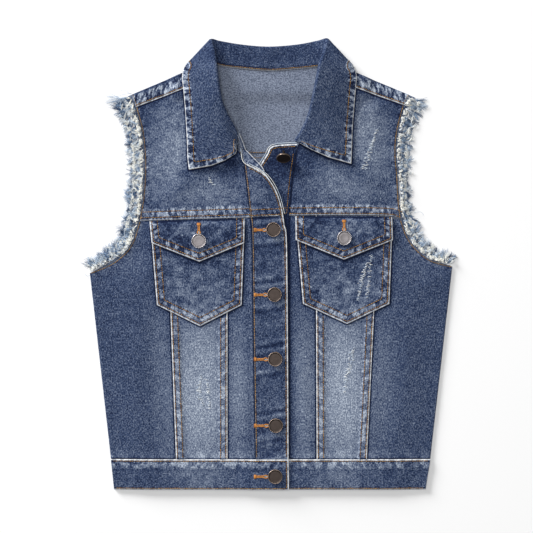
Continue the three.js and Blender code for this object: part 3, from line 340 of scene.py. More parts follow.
def value_noise(x, y, seed):
    """Smooth noise between -1 and 1, with a cell to each unit."""
    table = np.random.default_rng(seed).uniform(-1, 1, (NOISE_CELLS, NOISE_CELLS))
    column, row = np.floor(x).astype(int), np.floor(y).astype(int)
    across, up = smooth(x - column), smooth(y - row)

    def corner(dx, dy):
        return table[(column + dx) % NOISE_CELLS, (row + dy) % NOISE_CELLS]

    low = corner(0, 0) * (1 - across) + corner(1, 0) * across
    high = corner(0, 1) * (1 - across) + corner(1, 1) * across
    return low * (1 - up) + high * up


# Curves in the plane of the floor, each a function of 0 to 1

def catmull_rom(points, per_span=24):
    """The points of a smooth curve through the given ones."""
    p = np.asarray(points, float)
    if len(p) == 2:
        return p
    before = np.vstack([p[:1], p[:-2]])
    after = np.vstack([p[2:], p[-1:]])
    t = (np.arange(per_span) / per_span)[None, :, None]
    a, b = p[:-1, None], p[1:, None]
    v0, v1 = (b - before[:, None]) / 2, (after[:, None] - a) / 2
    samples = (2 * (a - b) + v0 + v1) * t**3 + (-3 * (a - b) - 2 * v0 - v1) * t**2 + v0 * t + a
    return np.vstack([samples.reshape(-1, p.shape[1]), p[-1:]])


def run_of(points):
    steps = np.linalg.norm(np.diff(points, axis=0), axis=1)
    return np.concatenate([[0], np.cumsum(steps)])


def along_line(points):
    reach = run_of(points)

    def at(t):
        distance = np.clip(t, 0, 1) * reach[-1]
        return np.stack([np.interp(distance, reach, points[:, k]) for k in range(points.shape[1])], -1)
    return at


def curve_through(points):
    return along_line(catmull_rom(points))


def line(a, b):
    return along_line(np.array([a, b], float))


def point_on(curve, share):
    return curve(np.array([share], float))[0]


def between(left, right, top=None):
    """An outline from its two sides, with straight ends where no curve is given."""
    return {"left": left, "right": right, "bottom": line(point_on(left, 0), point_on(right, 0)),
            "top": top or line(point_on(left, 1), point_on(right, 1))}


def chain(*parts):
    """Curves end to end, each with its share of 0 to 1."""
    shares = np.cumsum([0] + [share for _, share in parts])
    shares = shares / shares[-1]

    def at(t):
        t = np.asarray(t, float)
        out = np.zeros(t.shape + (2,))
        for i, (curve, _) in enumerate(parts):
            mine = (t >= shares[i]) & ((t <= shares[i + 1]) | (i == len(parts) - 1))
            out[mine] = curve((t[mine] - shares[i]) / (shares[i + 1] - shares[i]))
        return out
    return at


def backwards(curve):
    return lambda t: curve(1 - np.asarray(t, float))


def shifted(curve, dx, dy):
    return lambda t: curve(t) + np.array([dx, dy])


def raised(curve, rise):
    """A curve whose start is moved up by a rise, and whose end stays."""
    return lambda t: curve(t) + np.stack([np.zeros(np.shape(t)), rise * (1 - np.asarray(t))], -1)


def length_of(curve):
    return run_of(curve(np.linspace(0, 1, 60)))[-1]


def near(points, x, y):
    """Each place's distance from a line of points, and how far along the line that is."""
    best = np.full(np.shape(x), np.inf)
    along = np.zeros(np.shape(x))
    run = 0
    for a, b in zip(points[:-1], points[1:]):
        step = b - a
        size = np.hypot(*step)
        if size < 1e-6:
            continue
        t = np.clip(((x - a[0]) * step[0] + (y - a[1]) * step[1]) / size**2, 0, 1)
        gap = np.hypot(x - a[0] - step[0] * t, y - a[1] - step[1] * t)
        closer = gap < best
        best = np.where(closer, gap, best)
        along = np.where(closer, run + t * size, along)
        run += size
    return best, along


def nearest_of(lines, x, y):
    """Each place's distance from the nearest of several lines, and how far along that line it is."""
    distances, runs = zip(*(near(points, x, y) for points in lines))
    return np.min(distances, axis=0), np.choose(np.argmin(distances, axis=0), runs)


def placed(front, points):
    return [(front["sign"] * out, y) for out, y in points]


# Heights of the fronts' outer face, which comes down at the sides, the armholes and the shoulders

CLOSED_EDGES = [
    np.array([(f["sign"] * f["hem"], HEM), (f["sign"] * f["band_top"], BAND_TOP)]
             + placed(f, f["armhole"][::-1] + f["shoulder_fold"][1:]), float)
    for f in FRONTS.values()
]


def fold_height(x, y):
    height = np.zeros(np.shape(x))
    for cx, cy, turn, length, width, rise in SOFT_FOLDS:
        c, s = math.cos(math.radians(turn)), math.sin(math.radians(turn))
        along = ((x - cx) * c + (y - cy) * s) / length
        across = ((y - cy) * c - (x - cx) * s) / width
        height += rise * np.exp(-along**2 - across**2)
    return height


def lift_over_fall(x, y):
    return (FALL_LIFT * smooth((y - FALL_TOP + FALL_SLOPE) / FALL_SLOPE)
            * smooth((FALL_REACH + FALL_SLOPE - np.abs(x)) / FALL_SLOPE))


def body_height(x, y, rolled=True):
    d = np.minimum(*[near(edge, x, y)[0] for edge in CLOSED_EDGES])
    rise = smooth(d / EDGE_SLOPE)
    roll = 1 - np.sqrt(1 - np.clip(1 - d / EDGE_ROLL, 0, 1) ** 2) if rolled else 0
    near_band = BAND_EDGE_RISE * smooth((BAND_TOP + 12 - y) / 12)
    return (EDGE_HEIGHT + near_band + (BODY_HEIGHT - EDGE_HEIGHT) * rise - EDGE_ROLL_DROP * roll
            + fold_height(x, y) * rise + lift_over_fall(x, y))


def overlap_rise(x):
    return smooth((x + FRONTS["right"]["placket_seam"][0][0] + OVERLAP_SLOPE) / OVERLAP_SLOPE)


def front_height(front, x, y):
    lift = OVERLAP_LIFT / 2 * overlap_rise(x) if front["sign"] < 0 else 0
    return body_height(x, y) + lift


# Sewn edges: what a seam does to the cloth beside it

class Seam:
    """An edge or seam line with rows of stitches beside it, at distances measured into the cloth."""

    def __init__(self, points, rows=(), puff=0.0, period=6.0, slant=0.4, wear=0.0, shade=0.0,
                 rungs=0.0, edge=0.0, lift=0.0, reach=None, seed=1, above_only=False):
        self.points = np.asarray(points, float)
        self.rows, self.puff, self.period, self.slant = rows, puff, period, slant
        self.wear, self.shade, self.rungs, self.edge = wear, shade, rungs, edge
        self.lift, self.seed = lift, seed
        self.reach = reach or (max(rows) if rows else 3) + 1.5
        self.above_only = above_only

    def from_line(self, x, y):
        """Distances from the line and lengths along it."""
        d, s = near(self.points, x, y)
        if self.above_only:
            line_y = np.interp(x, self.points[:, 0], self.points[:, 1])
            d = np.where(y < line_y, FAR, d)
        return d, s

    def effect(self, d, s):
        """The height, and how faded the cloth is with painted shade beside a covering edge, at a distance
        from the edge and a length along it.
        """
        ripple = value_noise((s + self.slant * d) / self.period, d * 0 + 0.5, self.seed)
        finer = value_noise((s + self.slant * d) / (self.period * 0.45), d * 0 + 9.5, self.seed + 7)
        zone = smooth(d / 1.2) * smooth((self.reach + 2 - d) / 2.5)
        height = self.puff * zone * (0.45 + 0.8 * ripple + 0.6 * finer)
        for row in self.rows:
            height = height - GROOVE_DEPTH * np.exp(-((d - row) / GROOVE_WIDTH) ** 2)
        round_edge = 1 - np.sqrt(1 - np.clip(1 - d / EDGE_RADIUS, 0, 1) ** 2)
        trough = 0.5 * np.exp(-((d - self.reach - 3) / 1.5) ** 2)
        shaded = 0.18 * self.shade * np.exp(-(d / 5) ** 2)
        fade = self.lift * (zone * (0.7 + 0.6 * ripple) - trough) - shaded
        return height - self.edge * round_edge, fade

    def looks(self, d, s):
        """What the denim's material reads: see denim_material."""
        row_a, row_b = (list(self.rows) + [-9.0, -9.0])[:2]
        run = (s + self.slant * d) / self.period + 97.0 * self.seed
        steady = {"wear": self.wear, "rungs": self.rungs, "row_a": row_a, "row_b": row_b, "reach": self.reach}
        return {"edge": d, "run": run, **{k: v + 0 * d for k, v in steady.items()}}


def beside(seams, places):
    """The height, how faded the cloth is with its painted shade, and the looks, where each seam has its
    distances and lengths in places.
    """
    height, fade = 0 * places[0][0], 0 * places[0][0]
    gap = height + FAR
    looks = Seam([]).looks(gap, height)
    for seam, (d, s) in zip(seams, places):
        h, f = seam.effect(d, s)
        height, fade = height + h, fade + f
        if seam.shade:
            gap = np.minimum(gap, d / seam.shade)
        if seam.wear or seam.rungs:
            nearer = d < looks["edge"]
            looks = {k: np.where(nearer, v, looks[k]) for k, v in seam.looks(d, s).items()}
    return height, fade, {**looks, "gap": gap}


def combined(seams, x, y):
    return beside(seams or [Seam([])], [seam.from_line(x, y) for seam in seams] or [(FAR + 0 * x, 0 * x)])


def wear_and_painted_shade(x, y, blotch, seed):
    """How faded the cloth is, from 0 for dark indigo to 1 for pale, with the painted shade of DARKER taken
    off.
    """
    fade = np.zeros(np.shape(x))
    for cx, cy, half_width, half_height, turn, amount in FADES:
        c, s = math.cos(math.radians(turn)), math.sin(math.radians(turn))
        dx, dy = x - cx, y - cy
        r = ((dx * c + dy * s) / half_width) ** 2 + ((dy * c - dx * s) / half_height) ** 2
        fade = np.maximum(fade, amount * np.exp(-r**1.3))
    for cx, cy, half_width, half_height, amount in DARKER:
        fade = fade - amount * np.exp(-((x - cx) / half_width) ** 2 - ((y - cy) / half_height) ** 2)
    blotches = sum(amount * value_noise(x / wide, y / high, seed + k) for amount, wide, high, k in BLOTCHES)
    return fade + 0.05 * value_noise(x / 27, y / 34, seed) + blotch * blotches


# Meshes

def finish_mesh(name, vertices, faces, materials, face_looks=None):
    mesh = bpy.data.meshes.new(name)
    mesh.from_pydata((np.asarray(vertices) * MM).tolist(), [], faces)
    for material in materials:
        mesh.materials.append(material)
    if face_looks is not None:
        mesh.polygons.foreach_set("material_index", np.asarray(face_looks, np.int32))
    mesh.polygons.foreach_set("use_smooth", np.full(len(mesh.polygons), True))
    mesh.update()
    obj = bpy.data.objects.new(name, mesh)
    bpy.context.collection.objects.link(obj)
    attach(obj, "root")
    return obj


def add_uv(obj, coordinates):
    layer = obj.data.uv_layers.new(name="weave")
    corners = np.zeros(len(obj.data.loops), np.int32)
    obj.data.loops.foreach_get("vertex_index", corners)
    layer.data.foreach_set("uv", (np.asarray(coordinates)[corners] * MM).ravel())


def add_value(obj, name, values):
    attribute = obj.data.attributes.new(name, "FLOAT", "POINT")
    attribute.data.foreach_set("value", np.asarray(values, np.float32).ravel())


def grid_faces(rows, columns, start=0):
    index = start + np.arange(rows * columns).reshape(rows, columns)
    return np.stack([index[:-1, :-1], index[:-1, 1:], index[1:, 1:], index[1:, :-1]], -1).reshape(-1, 4)


def every_other(count):
    """Every second number up to a count, and the last one."""
    return np.unique(np.append(np.arange(0, count, 2), count - 1))


def shell(name, outer, inner, values, weave, looks):
    """A closed wall between two sheets of points. The inner one keeps every second row and column."""
    j, i = outer.shape[0] // 2, outer.shape[1] // 2
    facing = np.cross(outer[j, i + 1] - outer[j, i], outer[j + 1, i] - outer[j, i])
    if facing @ (outer[j, i] - inner[j, i]) < 0:
        outer, inner, weave = (v[:, ::-1] for v in (outer, inner, weave))
        values = {label: v[:, ::-1] for label, v in values.items()}
    rows, columns = outer.shape[:2]
    j, i = every_other(rows), every_other(columns)
    kept = np.ix_(j, i)
    top = grid_faces(rows, columns)
    under = grid_faces(len(j), len(i), rows * columns)[:, ::-1]
    side = rim_faces(rows, columns, j, i)
    face_looks = np.concatenate([np.zeros(len(top)), np.ones(len(under)), np.zeros(len(side))])
    obj = finish_mesh(name, np.vstack([outer.reshape(-1, 3), inner[kept].reshape(-1, 3)]),
                      top.tolist() + under.tolist() + side, looks, face_looks)
    add_uv(obj, np.vstack([weave.reshape(-1, 2), weave[kept].reshape(-1, 2)]))
    for label, value in values.items():
        add_value(obj, label, np.concatenate([value.ravel(), value[kept].ravel()]))
    return obj


def rim_faces(rows, columns, j, i):
    """Faces around a wall's edge, where the inner sheet has only rows j and columns i of the outer one."""
    ring = [(0, c) for c in range(columns - 1, -1, -1)] + [(r, 0) for r in range(1, rows)]
    ring += [(rows - 1, c) for c in range(1, columns)] + [(r, columns - 1) for r in range(rows - 2, 0, -1)]
    below = {}
    for r in j.tolist():
        for c in i.tolist():
            below[r, c] = rows * columns + len(below)
    stops = [k for k, place in enumerate(ring) if place in below] + [len(ring)]
    faces = []
    for a, b in zip(stops, stops[1:]):
        along = [ring[k % len(ring)] for k in range(a, b + 1)]
        faces.append([r * columns + c for r, c in along] + [below[along[-1]], below[along[0]]])
    return faces


def patch(bottom, top, left, right, u, v):
    """A grid of places between four curves that share their corners."""
    across, up = u[None, :, None], v[:, None, None]
    ends = [curve(np.array([0.0, 1.0])) for curve in (bottom, top)]
    return ((1 - up) * bottom(u)[None] + up * top(u)[None]
            + (1 - across) * left(v)[:, None] + across * right(v)[:, None]
            - (1 - up) * ((1 - across) * ends[0][0] + across * ends[0][1])
            - up * ((1 - across) * ends[1][0] + across * ends[1][1]))


def spread(length, step):
    """Places from 0 to 1, closer together beside both ends."""
    edge = np.array(EDGE_STEPS)
    edge = edge[edge < length / 2.2]
    count = 2 * round((length - 2 * edge[-1]) / step / 2) + 1
    inside = np.linspace(edge[-1], length - edge[-1], max(3, count))
    return np.concatenate([edge[:-1], inside, (length - edge[:-1])[::-1]]) / length


class Cloth:
    """A piece of cloth over the floor: its outline, its height and what its seams do to it."""

    def __init__(self, outline, thickness, height, seams, blotch, seed, step=POINT_STEP, turn=0.0, fade=0.0,
                 extra=None):
        self.height_below, self.seams, self.thickness = height, list(seams), thickness
        self.blotch, self.seed, self.turn, self.fade, self.extra = blotch, seed, turn, fade, extra
        across = max(length_of(outline["bottom"]), length_of(outline["top"]))
        up = max(length_of(outline["left"]), length_of(outline["right"]))
        u, v = spread(across, step), spread(up, step)
        places = patch(outline["bottom"], outline["top"], outline["left"], outline["right"], u, v)
        self.x, self.y = places[..., 0], places[..., 1]

    def surface(self, x, y):
        height, fade, looks = combined(self.seams, x, y)
        ripple = 0.14 * value_noise(x / 15, y / 18, self.seed + 3)
        ripple = ripple + 0.07 * value_noise(x / 5, y / 6, self.seed + 4)
        height = self.height_below(x, y) + height + ripple
        fade = wear_and_painted_shade(x, y, self.blotch, self.seed) + fade + self.fade
        if self.extra:
            more_height, more_fade = self.extra(x, y)
            height, fade = height + more_height, fade + more_fade
        return height, fade, looks

    def top(self, x, y):
        return self.surface(x, y)[0]

    def build(self, node, looks, lies_on="back_panel_cloth"):
        """Makes the piece that takes a node's place, and gives this cloth."""
        z, fade, values = self.surface(self.x, self.y)
        values["fade"] = fade
        under = self.height_below(self.x, self.y) - self.thickness
        outer = np.stack([self.x, self.y, z], -1)
        inner = np.stack([self.x, self.y, np.minimum(under, z - 0.4)], -1)
        c, s = math.cos(self.turn), math.sin(self.turn)
        weave = np.stack([self.x * c + self.y * s, self.y * c - self.x * s], -1) + self.seed * 37.0
        obj = shell(f"{node}_cloth", outer, inner, values, weave, looks)
        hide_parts(node)
        sides = [(slice(None), 0), (-1, slice(None)), (slice(None, None, -1), -1), (0, slice(None, None, -1))]
        return self


# Threads: stitches, buttonholes and frayed yarns are tubes along short lines

class Threads:
    def __init__(self):
        self.lines, self.radii, self.tints = [], [], []

    def add(self, lines, radii, tints):
        """Lines of the same number of points: (n, k, 3), with radii (n, k) and one tint for each."""
        self.lines.append(lines)
        self.radii.append(np.broadcast_to(radii, lines.shape[:2]))
        self.tints.append(np.broadcast_to(tints, lines.shape[:1]))

    def build(self, name, material, slot, sides=4):
        vertices, faces, tints, start = [], [], [], 0
        for lines, radii, tint in zip(self.lines, self.radii, self.tints):
            n, k = lines.shape[:2]
            along = np.gradient(lines, axis=1)
            along /= np.maximum(np.linalg.norm(along, axis=-1, keepdims=True), 1e-9)
            aside = np.cross(along, [0.0, 0.0, 1.0])
            size = np.linalg.norm(aside, axis=-1, keepdims=True)
            aside = np.where(size > 0.05, aside / np.maximum(size, 1e-9), [1.0, 0.0, 0.0])
            up = np.cross(aside, along)
            angles = np.arange(sides) * 2 * np.pi / sides + np.pi / sides
            ring = (aside[:, :, None] * np.cos(angles)[:, None] + up[:, :, None] * np.sin(angles)[:, None])
            points = lines[:, :, None] + ring * radii[:, :, None, None]
            vertices.append(points.reshape(-1, 3))
            index = start + np.arange(n * k * sides).reshape(n, k, sides)
            a, b = index[:, :-1], index[:, 1:]
            turned = np.roll(np.arange(sides), -1)
            tube = np.stack([a, a[:, :, turned], b[:, :, turned], b], -1).reshape(-1, 4)
            faces += tube.tolist()
            faces += index[:, 0, ::-1].tolist() + index[:, -1].tolist()
            tints.append(np.repeat(tint, k * sides))
            start += n * k * sides
        obj = finish_mesh(name, np.vstack(vertices), faces, [material])
        add_value(obj, "tint", np.concatenate(tints))
        return obj


def stitch_row(points, seed, normals=None):
    """Stitches along a line of points in space, each a short thread that arches out of the cloth."""
    reach = run_of(points)
    count = int(reach[-1] / STITCH["pitch"])
    if count < 1:
        return
    rng = np.random.default_rng(seed)
    starts = (np.arange(count) + 0.5) * reach[-1] / count - STITCH["length"] / 2
    where = starts[:, None] + np.array(STITCH_SHARES) * STITCH["length"]

    def read(values):
        return np.stack([np.interp(where, reach, values[:, k]) for k in range(3)], -1)
    lines = read(points)
    out = read(normals) if normals is not None else np.broadcast_to([0.0, 0.0, 1.0], lines.shape)
    lines = lines + out * np.array(STITCH["arch"])[:, None]
    lines[..., :2] += rng.uniform(-0.12, 0.12, (count, 1, 2))
    radii = STITCH["radius"] * np.array(STITCH_TAPER) * rng.uniform(0.9, 1.1, (count, 1))
    tobacco.add(lines, radii, rng.uniform(0, 1, count))


def sew_on(cloth, x, y, seed):
    """A row of stitches on a cloth's surface, along places in plan."""
    stitch_row(np.column_stack([x, y, cloth.top(x, y)]), seed)


def inset(points, distance, side):
    """A line moved sideways by a distance, to its left for a side of 1 and to its right for -1."""
    step = np.gradient(points, axis=0)
    step /= np.linalg.norm(step, axis=1, keepdims=True)
    return points + side * distance * np.stack([-step[:, 1], step[:, 0]], -1)


def rows_on(cloth, seam_points, side, rows, trim, seed):
    """Rows of stitches beside a seam, on a cloth's surface, left out for a length at each end."""
    for i, row in enumerate(rows):
        dense = along_line(np.asarray(seam_points, float))(np.linspace(0, 1, 160))
        moved = inset(dense, row, side)
        reach = run_of(moved)
        keep = (reach >= trim[0]) & (reach <= reach[-1] - trim[1])
        sew_on(cloth, moved[keep, 0], moved[keep, 1], seed * 10 + i)


# Materials

def srgb(r, g, b):
    def linear(c):
        c /= 255
        return c / 12.92 if c <= 0.04045 else ((c + 0.055) / 1.055) ** 2.4
    return (linear(r), linear(g), linear(b), 1.0)


class Nodes:
    """A material's node tree, with short calls to add and join nodes."""

    def __init__(self, name):
        self.material = bpy.data.materials.new(name)
        self.material.use_nodes = True
        self.tree = self.material.node_tree
        self.tree.nodes.clear()
        self.shader = self.add("ShaderNodeBsdfPrincipled")
        output = self.add("ShaderNodeOutputMaterial")
        self.link(self.shader.outputs[0], output.inputs[0])

    def add(self, kind, **settings):
        node = self.tree.nodes.new(kind)
        for key, value in settings.items():
            setattr(node, key, value)
        return node

    def link(self, source, target):
        if hasattr(source, "is_output"):
            self.tree.links.new(source, target)
        else:
            target.default_value = source

    def value(self, name):
        return self.add("ShaderNodeAttribute", attribute_name=name).outputs["Fac"]

    def math(self, operation, *values, clamp=False):
        node = self.add("ShaderNodeMath", operation=operation, use_clamp=clamp)
        for value, socket in zip(values, node.inputs):
            self.link(value, socket)
        return node.outputs[0]

    def total(self, terms):
        """The sum of each value less its middle, times an amount: rows of value, amount and middle."""
        result = 0.0
        for value, amount, middle in terms:
            part = self.math("MULTIPLY_ADD", value, amount, -amount * middle)
            result = self.math("ADD", result, part)
        return result

    def rise(self, value, low, high):
        """A smooth step from 0 at low to 1 at high, which may lie below low."""
        node = self.add("ShaderNodeMapRange", interpolation_type="SMOOTHSTEP")
        for socket, given in zip(("Value", "From Min", "From Max"), (value, low, high)):
            self.link(given, node.inputs[socket])
        return node.outputs[0]

    def vector(self, x, y):
        node = self.add("ShaderNodeCombineXYZ")
        self.link(x, node.inputs[0])
        self.link(y, node.inputs[1])
        return node.outputs[0]

    def weave(self, scale):
        """The cloth's own coordinates in metres, times a scale for each direction."""
        uv = self.add("ShaderNodeUVMap", uv_map="weave")
        mapping = self.add("ShaderNodeMapping")
        self.link(uv.outputs[0], mapping.inputs[0])
        mapping.inputs["Scale"].default_value = scale
        return mapping.outputs[0]

    def noise(self, vector, detail=2.0, rough=0.5, scale=1.0):
        node = self.add("ShaderNodeTexNoise")
        self.link(vector, node.inputs["Vector"])
        node.inputs["Scale"].default_value = scale
        node.inputs["Detail"].default_value = detail
        node.inputs["Roughness"].default_value = rough
        return node.outputs["Fac"]

    def ramp(self, fac, stops):
        node = self.add("ShaderNodeValToRGB")
        elements = node.color_ramp.elements
        for i, (position, color) in enumerate(stops):
            element = elements[i] if i < 2 else elements.new(position)
            element.position, element.color = position, color
        self.link(fac, node.inputs[0])
        return node.outputs[0]

    def mix(self, fac, a, b):
        node = self.add("ShaderNodeMix", data_type="RGBA")
        self.link(fac, node.inputs["Factor"])
        self.link(a, node.inputs["A"])
        self.link(b, node.inputs["B"])
        return node.outputs["Result"]

    def finished(self, roughness, specular=0.5, metallic=0.0):
        """The material, with its surface's constants set."""
        settings = {"Roughness": roughness, "Specular IOR Level": specular, "Metallic": metallic}
        for socket, value in settings.items():
            self.shader.inputs[socket].default_value = value
        return self.material

    def bump(self, height, distance, strength):
        node = self.add("ShaderNodeBump")
        node.inputs["Strength"].default_value = strength
        node.inputs["Distance"].default_value = distance
        self.link(height, node.inputs["Height"])
        self.link(node.outputs[0], self.shader.inputs["Normal"])


def denim_material(name, stops, grain):
    """Indigo twill with slubs and flecks.

    It reads how faded the cloth is, painted shade included (fade) and, beside a sewn edge, the distance from
    it (edge), the length along it (run), how white it is worn (wear), how puckered (rungs), how far the
    puckers reach (reach) and where its rows of stitches lie (row_a, row_b), whose grooves it darkens as
    painted shade. Beside an edge that lies over it, it reads the distance from that edge (gap) and darkens
    the cloth there as painted shade.
    """
    n = Nodes(name)
    flecks = n.noise(n.weave((690, 480, 1)), 2.5, 0.72)
    slubs = n.noise(n.weave((760, 130, 1)), 2, 0.6)
    fine = n.noise(n.weave((1700, 1300, 1)), 1, 0.6)
    clouds = n.noise(n.weave((150, 95, 1)), 3, 0.6)
    twill = n.add("ShaderNodeTexWave", wave_type="BANDS", bands_direction="DIAGONAL")
    n.link(n.weave((1, 0.62, 1)), twill.inputs["Vector"])
    for setting, value in (("Scale", 330), ("Distortion", 1.2), ("Detail", 1), ("Detail Scale", 3)):
        twill.inputs[setting].default_value = value
    ribs = twill.outputs["Fac"]

    edge, run, wear, reach = (n.value(k) for k in ("edge", "run", "wear", "reach"))
    along = n.vector(run, n.math("MULTIPLY", edge, 0.09))
    blocks = n.rise(n.noise(along, 1.5, 0.5, 1.15), 0.38, 0.62)
    ridge = n.math("ABSOLUTE", n.math("SUBTRACT", n.noise(along, 1, 0.4, 1.9), 0.5))
    bars = n.rise(ridge, 0.05, 0.0)
    zone = n.math("MULTIPLY", n.rise(edge, 0.5, 1.8), n.rise(n.math("SUBTRACT", edge, reach), 2.4, -0.6))
    puckered = n.total([(blocks, 1.6, 0.42), (bars, 1.0, 0.18)])
    puckers = n.math("MULTIPLY", n.math("MULTIPLY", puckered, zone), n.value("rungs"))
    # The rows' grooves are painted darker, as shade in the hollows the stitches press into the cloth.
    grooves = [n.rise(n.math("ABSOLUTE", n.math("SUBTRACT", edge, n.value(row))), 1.3, 0.4)
               for row in ("row_a", "row_b")]

    # Painted shade: the cloth is darkened beside an edge that lies over it.
    painted_shade_under_edge = n.rise(n.value("gap"), 2.5, 0.6)
    level = n.total([(n.value("fade"), 1, 0), (flecks, 3.9 * grain, 0.5), (slubs, 0.9 * grain, 0.5),
                     (fine, 0.9 * grain, 0.5), (clouds, 0.7 * grain, 0.5), (ribs, 0.12 * grain, 0.5),
                     (puckers, 1, 0), (grooves[0], -0.65, 0), (grooves[1], -0.6, 0), (painted_shade_under_edge, -0.95, 0)])
    color = n.ramp(n.math("MULTIPLY_ADD", level, 0.5, 0.3, clamp=True), stops)
    ragged = n.total([(edge, 1, 0), (flecks, 1.6, 0.5), (blocks, -0.3, 0.5)])
    line = n.math("MULTIPLY", n.rise(ragged, 1.55, 0.95), wear)
    broken = n.math("MULTIPLY", line, n.total([(flecks, 2.0, 0.2), (blocks, 0.45, 0)]), clamp=True)
    n.link(n.mix(broken, color, srgb(226, 228, 230)), n.shader.inputs["Base Color"])
    height = n.total([(ribs, 0.5, 0), (flecks, 0.8, 0), (puckers, 0.5, 0)])
    n.bump(height, 0.00025, 0.9)
    return n.finished(0.92, 0.08)


def thread_material(name, dark, light):
    n = Nodes(name)
    n.link(n.ramp(n.value("tint"), [(0.0, dark), (1.0, light)]), n.shader.inputs["Base Color"])
    return n.finished(0.75, 0.25)


def yarn_material(name):
    n = Nodes(name)
    stops = [(0.0, srgb(36, 50, 80)), (1.0, srgb(254, 252, 242)), (0.15, srgb(66, 88, 122)),
             (0.35, srgb(118, 142, 172)), (0.6, srgb(178, 196, 216)), (0.8, srgb(232, 236, 238))]
    n.link(n.ramp(n.value("tint"), stops), n.shader.inputs["Base Color"])
    return n.finished(0.95, 0.1)


def metal_material(name, dark, light, roughness):
    n = Nodes(name)
    coordinates = n.add("ShaderNodeTexCoord").outputs["Object"]
    scratches = n.noise(coordinates, 4, 0.7, 900)
    patina = n.noise(coordinates, 3, 0.6, 260)
    n.link(n.mix(n.math("MULTIPLY", patina, scratches), dark, light), n.shader.inputs["Base Color"])
    n.bump(scratches, 0.00005, 0.5)
    return n.finished(roughness, metallic=0.85)


DENIM = denim_material("denim", [(0.0, srgb(20, 29, 54)), (1.0, srgb(184, 194, 208)), (0.3, srgb(50, 65, 96)),
                                 (0.8, srgb(129, 140, 159))], 1.0)
INSIDE = denim_material("denim_reverse", [(0.0, srgb(74, 82, 100)), (1.0, srgb(176, 184, 196)),
                                          (0.3, srgb(116, 125, 144)), (0.8, srgb(150, 159, 176))], 1.15)
FACE_OUT = [DENIM, INSIDE]
FACE_IN = [INSIDE, DENIM]
TOBACCO = thread_material("tobacco_thread", srgb(104, 78, 44), srgb(178, 138, 80))
ORANGE = thread_material("orange_thread", srgb(158, 98, 44), srgb(216, 152, 84))
YARN = yarn_material("frayed_yarn")
GUNMETAL = metal_material("dark_metal", srgb(52, 45, 42), srgb(84, 73, 68), 0.5)
# The rims take a paler metal, which paints a highlight along each button's rim.
DARK_RIM_HIGHLIGHT = metal_material("dark_metal_rim_highlight", srgb(112, 96, 86), srgb(176, 160, 148), 0.3)
PEWTER = metal_material("pale_metal", srgb(104, 100, 101), srgb(150, 145, 148), 0.5)
PALE_RIM_HIGHLIGHT = metal_material("pale_metal_rim_highlight", srgb(150, 146, 148), srgb(204, 200, 202), 0.3)

tobacco, orange, worn_edges = Threads(), Threads(), Threads()


# Curves and pieces of the fronts

def front_curves(front):
    def at(key):
        return curve_through(placed(front, front[key]))
    armhole = placed(front, front["armhole"])
    names = ("shoulder_fold", "shoulder_seam", "yoke_seam", "outer_seam", "inner_seam", "placket_seam",
             "placket_above")
    curves = {name: at(name) for name in names}
    curves["armhole_yoke"] = curve_through(armhole[ARMHOLE_SHOULDER:ARMHOLE_YOKE + 1])
    curves["armhole_side"] = curve_through(armhole[ARMHOLE_YOKE:])
    curves["armhole"] = curve_through(armhole)
    return curves


def points_of(curve, count=40):
    return curve(np.linspace(0, 1, count))


def neckline(front):
    rows = COLLAR_ROWS[1:6] if front["sign"] < 0 else COLLAR_ROWS[-2:-7:-1]
    clear = DOUBLE_CLOTH / 2 + 2 * SEAM_GAP
    start = placed(front, [front["neck_start"]])
    return curve_through(start + [(neck[0] + front["sign"] * clear, neck[1]) for neck, _, _ in rows])


def out_at(points, y):
    outs, levels = zip(*points)
    return np.interp(y, levels, outs)


def level_at(curve, x):
    places = curve(np.linspace(0, 1, 200))
    order = np.argsort(places[:, 0])
    return np.interp(x, places[order, 0], places[order, 1])


def pocket_edge(form, out):
    side = np.where(out > form["tip"], form["outer_low"] - form["tip"], form["tip"] - form["inner_low"])
    return form["tip_y"] + (form["low"] - form["tip_y"]) * np.abs(out - form["tip"]) / side


def seam_ridge(front, x, y):
    out = front["sign"] * x
    d = np.minimum(np.abs(out - out_at(front["outer_seam"], y)), np.abs(out - out_at(front["inner_seam"], y)))
    below_pocket = smooth((pocket_edge(front["pocket"], out) - 4 - y) / 6)
    return SEAM_RIDGE * smooth((SEAM_RIDGE_WIDTH + 1 - d) / 1.5) * below_pocket


def beside_band(x, y):
    """Drawn, worn cloth just above the hem band."""
    d = y - BAND_TOP
    ripple = value_noise((x + 0.4 * d) / 4.5, d / 14, 91)
    zone = np.exp(-(d / 8) ** 2)
    return 0.35 * zone * ripple, zone * (0.4 * ripple + 0.35)


def lying_on(front):
    """The edges that lie over a front's panels: the pocket's, the hem band's and the placket's."""
    form = front["pocket"]
    names = (("outer", "top"), ("outer_low", "low"), ("tip", "tip_y"), ("inner_low", "low"), ("inner", "top"))
    pocket = placed(front, [(form[out], form[level]) for out, level in names])
    over = [Seam(pocket, shade=1.0), Seam([(-200, BAND_TOP), (200, BAND_TOP)], shade=0.8)]
    if front["sign"] > 0:
        over.append(Seam(points_of(curve_through(PLACKET_EDGE), 30), shade=1.0))
    return over


def tucked(front, seam, side):
    """A panel's height where its edge goes under a seam: on its inner side for 1, on its outer for -1."""
    def height(x, y):
        under = side * (front["sign"] * x - out_at(front[seam], y))
        return front_height(front, x, y) - TUCK["drop"] * smooth((TUCK["start"] - under) / TUCK["slope"])
    return height


